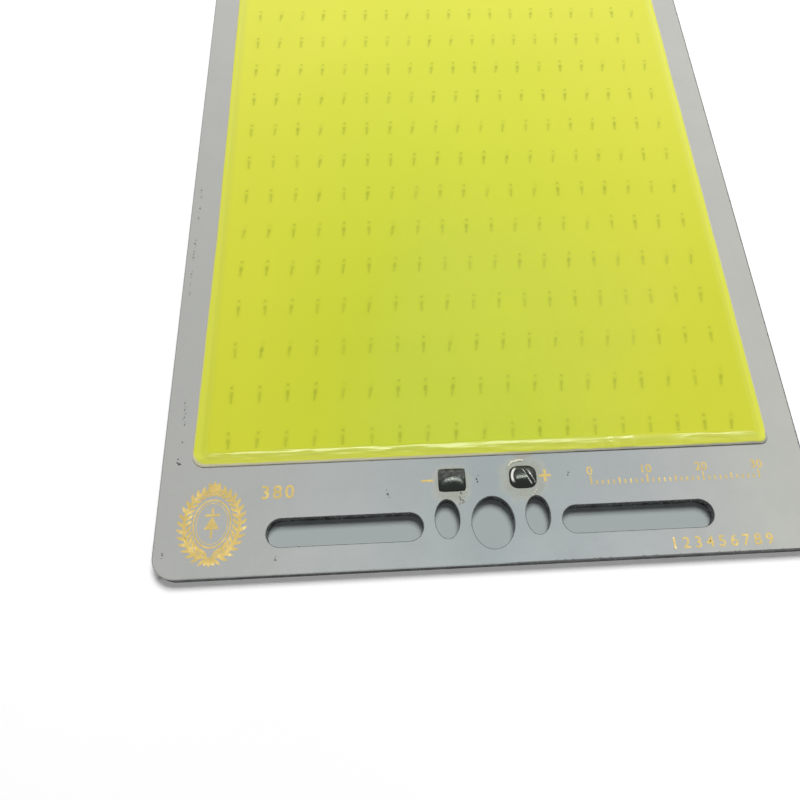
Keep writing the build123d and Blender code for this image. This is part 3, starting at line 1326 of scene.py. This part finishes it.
@dataclass(frozen=True)
class SolderJoint:
    """A solder joint, shaped from a fine grid."""

    name: str
    node: str
    x: float
    y: float = PLAN.joint_y
    half_width: float = 2.4
    half_depth: float = 2.08
    height: float = 1.04
    side_shoulder: float = 0.3
    end_shoulder: float = 0.72
    segments: int = 56
    rim_crowding: float = 1.6

    def arch(self, share: float, half: float, shoulder: float) -> float:
        """Finds the height of a round arch, from its shoulder at either end to its crown at 0.

        Args:
            share: Where on it, from -1 to 1.
            half: Half of its span.
            shoulder: Its height at either end.

        Returns:
            The height.
        """
        rise = self.height - shoulder
        radius = (half**2 + rise**2) / (2 * rise)
        return shoulder + math.sqrt(radius**2 - (share * half) ** 2) - (radius - rise)

    def crown(self, u: float, v: float, rounding: float, lean: float) -> float:
        """Finds the height of two crossing arches that lean backwards, with the rim rounded off.

        Args:
            u: Where on the unit square, across.
            v: Where on it, along.
            rounding: How tight the rim is, as a power.
            lean: How far back the crown lies, as a share.

        Returns:
            The height.
        """
        along = self.arch(v - lean * (1 - v * v), self.half_depth, self.side_shoulder)
        across = self.arch(u, self.half_width, self.end_shoulder)
        rim = ((1 - abs(u) ** rounding) * (1 - abs(v) ** rounding)) ** 0.5
        return along * across / self.height * rim

    def outline(self, u: float, v: float) -> tuple[float, float]:
        """Returns where a point of the unit square lies, in plan."""
        raise NotImplementedError

    def rise(self, u: float, v: float) -> float:
        """Returns the height there, from 0 at the rim."""
        raise NotImplementedError

    def build(self, material: Material) -> bpy.types.Object:
        """Makes the joint, which stands for the CAD one.

        Args:
            material: Its finish.

        Returns:
            The piece.
        """
        bm = bmesh.new()
        count = self.segments
        grid = bmesh.ops.create_grid(bm, x_segments=count, y_segments=count, size=1.0)["verts"]
        for vert in grid:
            u, v = (math.copysign(1 - (1 - abs(c)) ** self.rim_crowding, c) for c in vert.co.xy)
            across, along = self.outline(u, v)
            rise = max(0.0, min(self.height, self.rise(u, v)))
            place = self.x + across * self.half_width, self.y + along * self.half_depth
            vert.co = Vector((*place, PLAN.top + rise))
        close_up(bm)
        return finish_piece(bm, self.name, material, [self.node])


@dataclass(frozen=True)
class PillowJoint(SolderJoint):
    """The negative joint: a squarish pillow, arched more flatly along its width than its depth."""

    name: str = "negative_pillow"
    node: str = "negative_joint"
    x: float = PLAN.negative_x
    end_shoulder: float = 0.55
    barrel: float = 0.035

    def outline(self, u: float, v: float) -> tuple[float, float]:
        """Returns the plan, with rounded sides and corners; see SolderJoint.outline."""
        corner = 1 - 0.05 * (u * v) ** 6
        return u * (1 - self.barrel * v**4) * corner, v * (1 - self.barrel * u**4) * corner

    def rise(self, u: float, v: float) -> float:
        """Returns the crossed arches, dented behind their middle; see SolderJoint.rise."""
        dent = 0.05 * math.exp(-(((u - 0.15) / 0.3) ** 2) - ((v - 0.5) / 0.3) ** 2)
        ripple = 0.012 * noise.noise(Vector((u * 2.4, v * 2.4, 4.0)))
        return self.crown(u, v, 16, 0.18 - 0.36 * u * u) * (1.0 - dent + ripple)


@dataclass(frozen=True)
class BeadJoint(SolderJoint):
    """The positive joint: a rounder bead with a lobe at its right, behind a slanting groove."""

    name: str = "positive_bead"
    node: str = "positive_joint"
    x: float = PLAN.positive_x
    side_shoulder: float = 0.38
    end_shoulder: float = 0.62
    cut_corners: float = 0.2
    groove_depth: float = 0.42
    groove_width: float = 0.085

    def outline(self, u: float, v: float) -> tuple[float, float]:
        """Returns the plan, with its corners cut to a round."""
        return u * (1 - self.cut_corners * v**4), v * (1 - self.cut_corners * u**4)

    def rise(self, u: float, v: float) -> float:
        """Returns a dome with the groove and the lobe cut into it; see SolderJoint.rise."""
        off = u - (PLAN.groove_offset - PLAN.groove_slant * v)
        along = max(0.0, 1 - ((v + 0.05) / 0.75) ** 4)
        groove = self.groove_depth * hump(off, self.groove_width) * along
        ridge = 0.03 * hump(off + 0.17, 0.1)
        lobe = 0.10 * clamped(off / 0.12)
        ripple = 0.012 * noise.noise(Vector((u * 2.0, v * 2.0, 7.0)))
        return self.crown(u, v, 4.5, 0.14) * (0.97 + ridge - groove - lobe + ripple)


@dataclass(frozen=True)
class FluxFilm:
    """A thin puddle of dried flux round a joint."""

    name: str
    x: float
    y: float
    half_width: float
    half_length: float
    depth: float = 0.045
    lift: float = 0.003
    seed: float = 1.0
    segments: int = 96
    rings: int = 7
    ring_width: float = 0.11

    def build(self, material: Material) -> bpy.types.Object:
        """Makes the film, a closed flat dome with a ragged rim.

        Args:
            material: Its finish.

        Returns:
            The piece.
        """
        bm = bmesh.new()
        bmesh.ops.create_circle(bm, cap_ends=True, segments=self.segments, radius=1.0)
        for _ in range(self.rings):
            middle = max(bm.faces, key=lambda face: len(face.verts))
            inset_faces(bm, [middle], self.ring_width)
        for vert in bm.verts:
            reach = min(1.0, vert.co.xy.length)
            angle = math.atan2(vert.co.y, vert.co.x)
            around = Vector((math.cos(angle), math.sin(angle), self.seed))
            ragged = 1 + 0.17 * noise.noise(around * 1.3) + 0.03 * noise.noise(around * 4.0)
            square = (abs(math.cos(angle)) ** 4 + abs(math.sin(angle)) ** 4) ** -0.25
            spread = reach * ragged * square
            thick = max(0.0, 1 - reach**6) ** 0.5 * (0.7 + 0.5 * noise.noise(around * 3 * reach))
            rim = 0.5 * hump(reach - 0.88, 0.06)
            x = self.x + spread * math.cos(angle) * self.half_width
            y = self.y + spread * math.sin(angle) * self.half_length
            vert.co = Vector((x, y, PLAN.top + self.lift + self.depth * thick * (0.6 + rim)))
        bmesh.ops.recalc_face_normals(bm, faces=bm.faces)
        if sum(face.normal.z for face in bm.faces) < 0:
            bmesh.ops.reverse_faces(bm, faces=bm.faces)
        return finish_piece(bm, self.name, material)


@dataclass(frozen=True)
class Crumbs:
    """Small flat lumps on the mask, each by its x, y and radius, with smaller ones beside it."""

    name: str
    spots: tuple[tuple[float, float, float], ...]
    flatness: float = 0.35
    satellites: int = 0
    spread: float = 4.0
    seed: int = 3

    def build(self, material: Material) -> bpy.types.Object:
        """Makes the lumps as one piece.

        Args:
            material: Their finish.

        Returns:
            The piece.
        """
        draw = random.Random(self.seed)
        bm = bmesh.new()
        spots = list(self.spots)
        for x, y, radius in self.spots:
            for _ in range(self.satellites):
                off = draw.uniform(-1.8, 1.8), draw.uniform(-self.spread, self.spread)
                share = draw.uniform(0.35, 0.7)
                spots.append((x + off[0] * radius, y + off[1] * radius, radius * share))
        for x, y, radius in spots:
            lump = bmesh.ops.create_icosphere(bm, subdivisions=2, radius=radius)["verts"]
            turn = draw.uniform(0, math.tau)
            stretch = draw.uniform(0.6, 1.0)
            shift = draw.uniform(0, 50)
            for vert in lump:
                vert.co *= 1 + 0.55 * noise.noise(vert.co * (1.3 / radius) + Vector((shift, 0, 0)))
            bmesh.ops.scale(bm, vec=(1.0, stretch, self.flatness), verts=lump)
            bmesh.ops.rotate(bm, cent=(0, 0, 0), matrix=Matrix.Rotation(turn, 3, "Z"), verts=lump)
            bmesh.ops.translate(bm, vec=(x, y, PLAN.top + radius * self.flatness * 0.5), verts=lump)
        return finish_piece(bm, self.name, material)


@dataclass(frozen=True)
class GoldMarks:
    """The gold print: signs, a wreath round a diode symbol, a number, a scale and figures."""

    thickness: float = 0.012
    lift: float = 0.001
    minus_place: tuple[float, float] = (-10.9, -95.05)
    plus_place: tuple[float, float] = (9.7, -95.0)
    sign_width: float = 2.1
    wreath_place: tuple[float, float] = (-47.2, -100.9)
    wreath_size: tuple[float, float] = (4.5, 5.7)
    wreath_leaves: int = 15
    leaf_width: float = 0.56
    leaf_leans: tuple[float, ...] = (-0.8, 0.0, 0.8)
    outer_ring: tuple[float, float] = (3.2, 4.2)
    inner_ring: tuple[float, float] = (2.65, 3.6)
    diode_radius: float = 1.45
    diode_bars: tuple[tuple[float, float, float], ...] = (
        (1.42, 2.4, 0.4),
        (2.2, 0.36, 1.1),
        (-1.75, 0.36, 1.5),
    )
    capital_share: float = 0.7
    boldness: float = 0.02
    count_place: tuple[float, float] = (-39.4, -97.0)
    count_height: float = 2.3
    scale_place: tuple[float, float] = (17.7, -97.1)
    scale_length: int = 30
    scale_height: float = 1.5
    tick_width: float = 0.27
    tick_lengths: tuple[float, float, float] = (1.6, 1.2, 0.8)
    row_place: tuple[float, float] = (29.6, -108.9)
    row_height: float = 1.9

    def slab(self, bm: BMesh, faces: Sequence[Face], share: float = 1.0) -> None:
        """Gives flat faces a share of the print's thickness."""
        made = bmesh.ops.extrude_face_region(bm, geom=list(faces))["geom"]
        bmesh.ops.translate(bm, vec=(0, 0, self.thickness * share), verts=verts_of(made))

    def bar(self, bm: BMesh, x: float, y: float, width: float, height: float) -> None:
        """Adds a bar.

        Args:
            bm: The mesh.
            x: Its middle.
            y: Its middle.
            width: Its size along x.
            height: Its size along y.
        """
        before = set(bm.faces)
        verts = bmesh.ops.create_grid(bm, x_segments=1, y_segments=1, size=0.5)["verts"]
        bmesh.ops.scale(bm, vec=(width, height, 1), verts=verts)
        bmesh.ops.translate(bm, vec=(x, y, 0), verts=verts)
        self.slab(bm, new_faces(bm, before))

    def leaf(self, bm: BMesh, root: Vector, length: float, width: float, turn: float) -> None:
        """Adds a pointed leaf. Leaves overlap, so each has a thickness of its own.

        Args:
            bm: The mesh.
            root: Where it starts.
            length: Its length.
            width: Its width.
            turn: An angle in radians.
        """
        before = set(bm.faces)
        share = 0.6 + 0.4 * abs(math.sin(37.0 * (root.x + 1.7 * root.y + turn)))
        verts = bmesh.ops.create_circle(bm, cap_ends=True, segments=14, radius=1.0)["verts"]
        for vert in verts:
            slim = 1 - 0.55 * abs(vert.co.x) ** 2
            vert.co = Vector(((vert.co.x + 1) * length / 2, vert.co.y * slim * width / 2, 0))
        bmesh.ops.rotate(bm, cent=(0, 0, 0), matrix=Matrix.Rotation(turn, 3, "Z"), verts=verts)
        bmesh.ops.translate(bm, vec=(root.x, root.y, 0), verts=verts)
        self.slab(bm, new_faces(bm, before), share)

    def ring(self, bm: BMesh, x: float, y: float, size: tuple[float, float], width: float) -> None:
        """Adds an oval ring.

        Args:
            bm: The mesh.
            x: Its middle.
            y: Its middle.
            size: Its outer half sizes.
            width: Its line's width.
        """
        before = set(bm.faces)
        verts = bmesh.ops.create_circle(bm, cap_ends=True, segments=64, radius=1.0)["verts"]
        for vert in verts:
            vert.co = Vector((x + vert.co.x * size[0], y + vert.co.y * size[1], 0))
        disc = new_faces(bm, before)
        rim = inset_faces(bm, disc, width)
        bmesh.ops.delete(bm, geom=disc, context="FACES_ONLY")
        self.slab(bm, rim)

    def figures(
        self, bm: BMesh, text: str, x: float, y: float, height: float, spread: float = 1.05
    ) -> None:
        """Adds figures.

        Args:
            bm: The mesh.
            text: The figures.
            x: Their lower left corner.
            y: Their lower left corner.
            height: Their height.
            spread: Their spacing, 1 for the font's own.
        """
        curve = bpy.data.curves.new("figures", "FONT")
        curve.body, curve.size, curve.space_character = text, height / self.capital_share, spread
        curve.offset = height * self.boldness
        holder = bpy.data.objects.new("figures", curve)
        bpy.context.scene.collection.objects.link(holder)
        mesh = bpy.data.meshes.new_from_object(holder)
        before = set(bm.faces)
        seen = set(bm.verts)
        bm.from_mesh(mesh)
        verts = [vert for vert in bm.verts if vert not in seen]
        bmesh.ops.translate(bm, vec=(x, y, 0), verts=verts)
        self.slab(bm, new_faces(bm, before))
        bpy.data.objects.remove(holder)
        bpy.data.curves.remove(curve)
        bpy.data.meshes.remove(mesh)

    def done(self, bm: BMesh, name: str, material: Material) -> bpy.types.Object:
        """Lays the print on the mask.

        Args:
            bm: The mesh. It is freed.
            name: The piece's name.
            material: Its finish.

        Returns:
            The piece.
        """
        bmesh.ops.translate(bm, vec=(0, 0, PLAN.top + self.lift), verts=bm.verts)
        bmesh.ops.recalc_face_normals(bm, faces=bm.faces)
        return finish_piece(bm, name, material, smooth=False)

    def signs(self, material: Material) -> None:
        """Makes the minus and the plus beside the joints.

        Args:
            material: The print's finish.
        """
        bm = bmesh.new()
        self.bar(bm, *self.minus_place, self.sign_width, 0.38)
        self.done(bm, "minus_sign", material)
        bm = bmesh.new()
        x, y = self.plus_place
        self.bar(bm, x, y, self.sign_width, 0.42)
        for side in (1, -1):
            self.bar(bm, x, y + side * 0.66, 0.42, 0.9)
        self.done(bm, "plus_sign", material)

    def emblem(self, material: Material) -> None:
        """Makes a wreath round a diode symbol.

        Args:
            material: The print's finish.
        """
        bm = bmesh.new()
        x, y = self.wreath_place
        across, along = self.wreath_size
        for side in (-1, 1):
            for step in range(self.wreath_leaves):
                angle = math.radians(-86 + 162 * step / (self.wreath_leaves - 1))
                root = Vector((x + side * across * math.cos(angle), y + along * math.sin(angle)))
                heading = math.atan2(along * math.cos(angle), -side * across * math.sin(angle))
                size = 2.3 - 0.05 * step
                for lean in self.leaf_leans:
                    length = size * (1.05 - 0.2 * abs(lean))
                    self.leaf(bm, root, length, self.leaf_width, heading + lean * side)
        self.ring(bm, x, y, self.outer_ring, 0.26)
        self.ring(bm, x, y, self.inner_ring, 0.12)
        before = set(bm.faces)
        made = bmesh.ops.create_circle(bm, cap_ends=True, segments=3, radius=self.diode_radius)
        bmesh.ops.translate(bm, vec=(x, y - 0.25, 0), verts=made["verts"])
        self.slab(bm, new_faces(bm, before))
        for off, width, height in self.diode_bars:
            self.bar(bm, x, y + off, width, height)
        for turn in (-0.5, 0.0, 0.5):
            self.leaf(bm, Vector((x, y + 5.3)), 2.1, 0.85, math.pi / 2 + turn)
            self.leaf(bm, Vector((x, y - 5.6)), 1.7, 0.75, -math.pi / 2 + turn)
        self.done(bm, "wreath_emblem", material)

    def numbers(self, material: Material) -> None:
        """Makes the number of chips, a scale in millimetres and a row of figures.

        Args:
            material: The print's finish.
        """
        bm = bmesh.new()
        chips = str(PLAN.column_count * PLAN.row_count)
        self.figures(bm, chips, *self.count_place, self.count_height, 1.25)
        self.done(bm, "chip_count", material)
        bm = bmesh.new()
        x, y = self.scale_place
        ten, five, one = self.tick_lengths
        for step in range(self.scale_length + 1):
            tall = ten if step % 10 == 0 else five if step % 5 == 0 else one
            self.bar(bm, x + step, y + tall / 2, self.tick_width, tall)
        for step in range(0, self.scale_length + 1, 10):
            left = x + step - (1.2 if step else 0.6)
            self.figures(bm, str(step), left, y + 1.85, self.scale_height)
        self.done(bm, "scale_marks", material)
        bm = bmesh.new()
        self.figures(bm, "1 2 3 4 5 6 7 8 9", *self.row_place, self.row_height, 0.98)
        self.done(bm, "row_figures", material)


@dataclass(frozen=True)
class BondWires:
    """Two gold wires from each chip to the copper beside its row."""

    radius: float = 0.02
    chip_top: float = 2.03
    inner: float = 0.28
    outer: float = 1.02
    arch: float = 0.14
    steps: int = 6

    def build(self, material: Material) -> bpy.types.Object:
        """Makes all wires as one piece.

        Args:
            material: Their finish.

        Returns:
            The piece.
        """
        one = bmesh.new()
        middle, half = (self.inner + self.outer) / 2, (self.outer - self.inner) / 2
        bmesh.ops.create_circle(one, cap_ends=False, segments=4, radius=self.radius)
        bmesh.ops.translate(one, vec=(0, self.inner, 0), verts=one.verts)
        bmesh.ops.spin(
            one,
            geom=list(one.verts) + list(one.edges),
            cent=(0, middle, 0),
            axis=(1, 0, 0),
            angle=-math.pi,
            steps=self.steps,
        )
        for vert in one.verts:
            share = (vert.co.y - self.inner) / (self.outer - self.inner)
            lie = self.chip_top + (PLAN.copper_top - self.chip_top) * clamped(share)
            vert.co.z = lie + vert.co.z * self.arch / half
        close_up(one)
        wire = bpy.data.meshes.new("one_wire")
        one.to_mesh(wire)
        one.free()
        bm = bmesh.new()
        for y in PLAN.rows():
            for x in PLAN.columns():
                for way in (0.0, math.pi):
                    seen = len(bm.verts)
                    bm.from_mesh(wire)
                    bm.verts.ensure_lookup_table()
                    verts = bm.verts[seen:]
                    place = Matrix.Translation((x, y, 0)) @ Matrix.Rotation(way, 4, "Z")
                    bmesh.ops.transform(bm, matrix=place, verts=verts)
        bpy.data.meshes.remove(wire)
        return finish_piece(bm, "bond_wires", material)


# ---------------------------------------------------------------- board and studio


class BoardDress:
    """Gives every CAD node that stays in view its finish."""

    def __init__(self, effects: Effects) -> None:
        """Makes the finishes of the board.

        Args:
            effects: The shared node groups.
        """
        copper = EtchedCopper(effects=effects).make()
        self.finishes: dict[str, Material] = {
            "base_plate": PlateAluminium(effects=effects).make(),
            "insulation_layer": FilledResin(effects=effects).make(),
            "positive_copper": copper,
            "negative_copper": copper,
            "link_strip": copper,
            "chip_row": SapphireChip(effects=effects).make(),
            "solder_mask": SolderMask(effects=effects).make(),
        }

    def dress(self, nodes: dict[str, bpy.types.Object]) -> None:
        """Puts the finishes on.

        Args:
            nodes: The CAD nodes by name.
        """
        for name, node in nodes.items():
            for start, material in self.finishes.items():
                if name.startswith(start):
                    node.data.materials.clear()
                    node.data.materials.append(material)
        LOG.info("board: %d nodes dressed", len(nodes))


class Light(Enum):
    """What a lamp is for: its light, or only its reflection."""

    FILL = "fill"
    GLINT = "glint"


@dataclass(frozen=True)
class Lamp:
    """A softbox."""

    name: str
    place: tuple[float, float, float]
    size: tuple[float, float]
    power: float
    light: Light
    aim: tuple[float, float, float] = (0.0, -0.06, 0.0)

    def hang(self) -> None:
        """Adds the lamp to the scene."""
        data = bpy.data.lights.new(self.name, "AREA")
        data.shape, data.size, data.size_y = "RECTANGLE", *self.size
        data.energy = self.power
        lamp = bpy.data.objects.new(self.name, data)
        lamp.location = self.place
        way = Vector(self.aim) - Vector(self.place)
        lamp.rotation_mode = "QUATERNION"
        lamp.rotation_quaternion = way.to_track_quat("-Z", "Y")
        lamp.visible_diffuse = self.light is Light.FILL
        lamp.visible_glossy = self.light is Light.GLINT
        bpy.context.scene.collection.objects.link(lamp)


@dataclass(frozen=True)
class Studio:
    """The plain floor, the backdrop and the soft light."""

    floor_half: float = 3.0
    floor_drop: float = 0.00002
    floor_glow: float = 0.19
    far_glow: tuple[float, float] = (260.0, 800.0)
    board_grey: Paint = paint(0.400, 0.442, 0.438)
    ambient: float = 0.12
    lamps: tuple[Lamp, ...] = (
        Lamp("back_box", (0.2, 0.55, 1.15), (0.55, 0.55), 17.1, Light.FILL),
        Lamp(
            "overhead_strip", (0.16, -0.05, 1.0), (0.92, 0.17), 5.9, Light.GLINT, (0.16, -0.1, 0.0)
        ),
    )

    def floor_finish(self) -> Material:
        """Makes the floor's finish: near white, and painted in a pale grey shade where the board
        covers it.

        Returns:
            The material.
        """
        material = bpy.data.materials.new("pale_floor")
        material.use_nodes = True
        wires = Wiring(material.node_tree)
        shader = material.node_tree.nodes["Principled BSDF"]
        place = wires.place()
        x, y, _ = wires.parts(wires.vector("ABSOLUTE", place))
        sides = ((x, PLAN.width / 2), (y, PLAN.length / 2))
        # under is 1 beneath the board, where the floor is painted grey as a shade.
        within = [wires.step(reach, edge - 0.4, edge - 1.4) for reach, edge in sides]
        under = wires.math("MINIMUM", *within)
        cloud = wires.noise(place, 60.0, 2.0)
        open_floor = wires.mix(cloud, paint(0.91, 0.91, 0.91), paint(0.94, 0.94, 0.94))
        far = wires.vector("LENGTH", wires.vector("MULTIPLY", place, (1.0, 1.0, 0.0)))
        level = wires.step(far, *self.far_glow, self.floor_glow, 1.0)
        glow = wires.times(wires.math("SUBTRACT", wires.seen(), under, clamp=True), level)
        feeds = {
            "Base Color": wires.mix(under, open_floor, self.board_grey),
            "Emission Color": wires.join(glow, glow, glow),
            "Emission Strength": 1.0,
            "Roughness": 0.9,
            "Specular IOR Level": 0.0,
        }
        for name, value in feeds.items():
            wires.feed(shader.inputs[name], value)
        return material

    def build(self) -> None:
        """Adds the floor, the world and the lamps."""
        bm = bmesh.new()
        bmesh.ops.create_grid(bm, x_segments=8, y_segments=8, size=self.floor_half)
        bmesh.ops.translate(bm, vec=(0, 0, -self.floor_drop), verts=bm.verts)
        to_object(bm, "pale_floor", self.floor_finish())

        world = bpy.data.worlds.new("studio")
        bpy.context.scene.world = world
        world.use_nodes = True
        wires = Wiring(world.node_tree)
        back = world.node_tree.nodes["Background"]
        wires.feed(back.inputs["Strength"], wires.step(wires.seen(), 0.0, 1.0, self.ambient, 1.0))
        back.inputs["Color"].default_value = paint(1.0, 1.0, 1.0)
        for lamp in self.lamps:
            lamp.hang()
        LOG.info("studio: floor, world and %d lamps", len(self.lamps))


@dataclass(frozen=True)
class PhotoCamera:
    """The camera, at the photograph's angle."""

    place: tuple[float, float, float] = (-13.72, -135.12, 120.86)
    aim: tuple[float, float, float] = (-6.93, -79.74, 2.0)
    roll: float = 4.134
    lens: float = 32.369
    sensor: float = 36.0
    shift_x: float = -0.05625
    nearest: float = 0.005
    farthest: float = 20.0

    def build(self) -> None:
        """Adds the camera and makes it the scene's."""
        data = bpy.data.cameras.new("photo_camera")
        data.lens, data.sensor_width, data.shift_x = self.lens, self.sensor, self.shift_x
        data.clip_start, data.clip_end = self.nearest, self.farthest
        camera = bpy.data.objects.new("photo_camera", data)
        camera.location = Vector(self.place) * MM
        look = (Vector(self.aim) - Vector(self.place)).to_track_quat("-Z", "Y")
        camera.rotation_mode = "QUATERNION"
        camera.rotation_quaternion = look @ Quaternion((0, 0, 1), math.radians(self.roll))
        bpy.context.scene.collection.objects.link(camera)
        bpy.context.scene.camera = camera
        LOG.info("camera: lens %.1f mm", self.lens)


MARGIN_SPOTS = (
    (-54.95, -29.41, 0.14),
    (-54.85, -31.2, 0.10),
    (-54.89, -34.08, 0.15),
    (-54.95, -36.62, 0.11),
    (-55.10, -43.06, 0.15),
    (-55.0, -44.9, 0.11),
    (-55.10, -46.43, 0.14),
    (-55.15, -50.44, 0.13),
    (-55.1, -52.6, 0.10),
    (-55.04, -55.04, 0.12),
    (-53.79, -78.32, 0.12),
    (-53.66, -79.7, 0.11),
    (-53.58, -81.2, 0.12),
    (-53.46, -82.6, 0.11),
)
GRIT_SPOTS = (
    (-53.45, -86.01, 0.12),
    (-53.67, -90.06, 0.24),
    (-54.83, -105.8, 0.14),
    (-36.47, -107.48, 0.15),
    (-17.77, -97.11, 0.2),
    (13.76, -95.02, 0.14),
    (-2.32, -95.11, 0.2),
    (-5.21, -97.5, 0.18),
    (-5.35, -98.4, 0.13),
    (-5.3, -98.75, 0.15),
    (-4.85, -98.9, 0.16),
    (-5.0, -99.3, 0.13),
    (-5.5, -99.45, 0.1),
)
CRUST_SPOTS = (
    (3.55, -92.95, 0.14),
    (3.65, -92.75, 0.17),
    (3.8, -92.55, 0.2),
    (4.0, -92.38, 0.23),
    (4.25, -92.25, 0.24),
    (4.5, -92.2, 0.2),
    (4.8, -92.12, 0.22),
    (5.1, -92.05, 0.25),
    (5.4, -92.0, 0.26),
    (5.7, -92.0, 0.24),
    (5.95, -92.05, 0.18),
    (7.9, -97.6, 0.2),
    (7.6, -98.0, 0.16),
    (7.2, -98.3, 0.14),
    (-4.35, -96.9, 0.18),
    (-4.25, -97.2, 0.12),
)


def main() -> None:
    """Builds the scene, piece by piece."""
    logging.basicConfig(level=logging.INFO, format="%(name)s: %(message)s")
    bpy.context.scene.view_settings.view_transform = "Standard"
    effects = Effects()
    PhotoCamera().build()
    Studio().build()
    BoardDress(effects).dress(frame["nodes"])

    SiliconeDam().build(DamSilicone(effects=effects).make())
    PhosphorFace().build(PhosphorSilicone(effects=effects).make())

    frosted = DarkTin(effects=effects, name="frosted_tin", frost=1.0, polish=0.25)
    PillowJoint().build(frosted.make())
    # The positive joint's tin has painted highlights and a painted groove shade.
    bright = DarkTin(effects=effects, name="bright_tin", frost=0.6, polish=0.16, groove=True)
    BeadJoint().build(bright.make())
    resin = FluxResin(effects=effects).make()
    FluxFilm("negative_flux", -6.75, -95.7, 2.6, 3.0, seed=1.0).build(resin)
    FluxFilm("positive_flux", 6.1, -95.3, 3.3, 3.2, seed=4.0).build(resin)
    Crumbs("flux_crust", CRUST_SPOTS, flatness=0.5, seed=5).build(FluxCrust(effects=effects).make())
    grit = DarkGrit(effects=effects).make()
    Crumbs("dark_grit", GRIT_SPOTS, satellites=3).build(grit)
    Crumbs("margin_grit", MARGIN_SPOTS, satellites=5, spread=6.0, seed=7).build(grit)

    gold = GoldPrint(effects=effects).make()
    marks = GoldMarks()
    marks.signs(gold)
    marks.emblem(gold)
    marks.numbers(gold)
    BondWires().build(GoldWire(effects=effects).make())


if __name__ == "__main__":
    main()
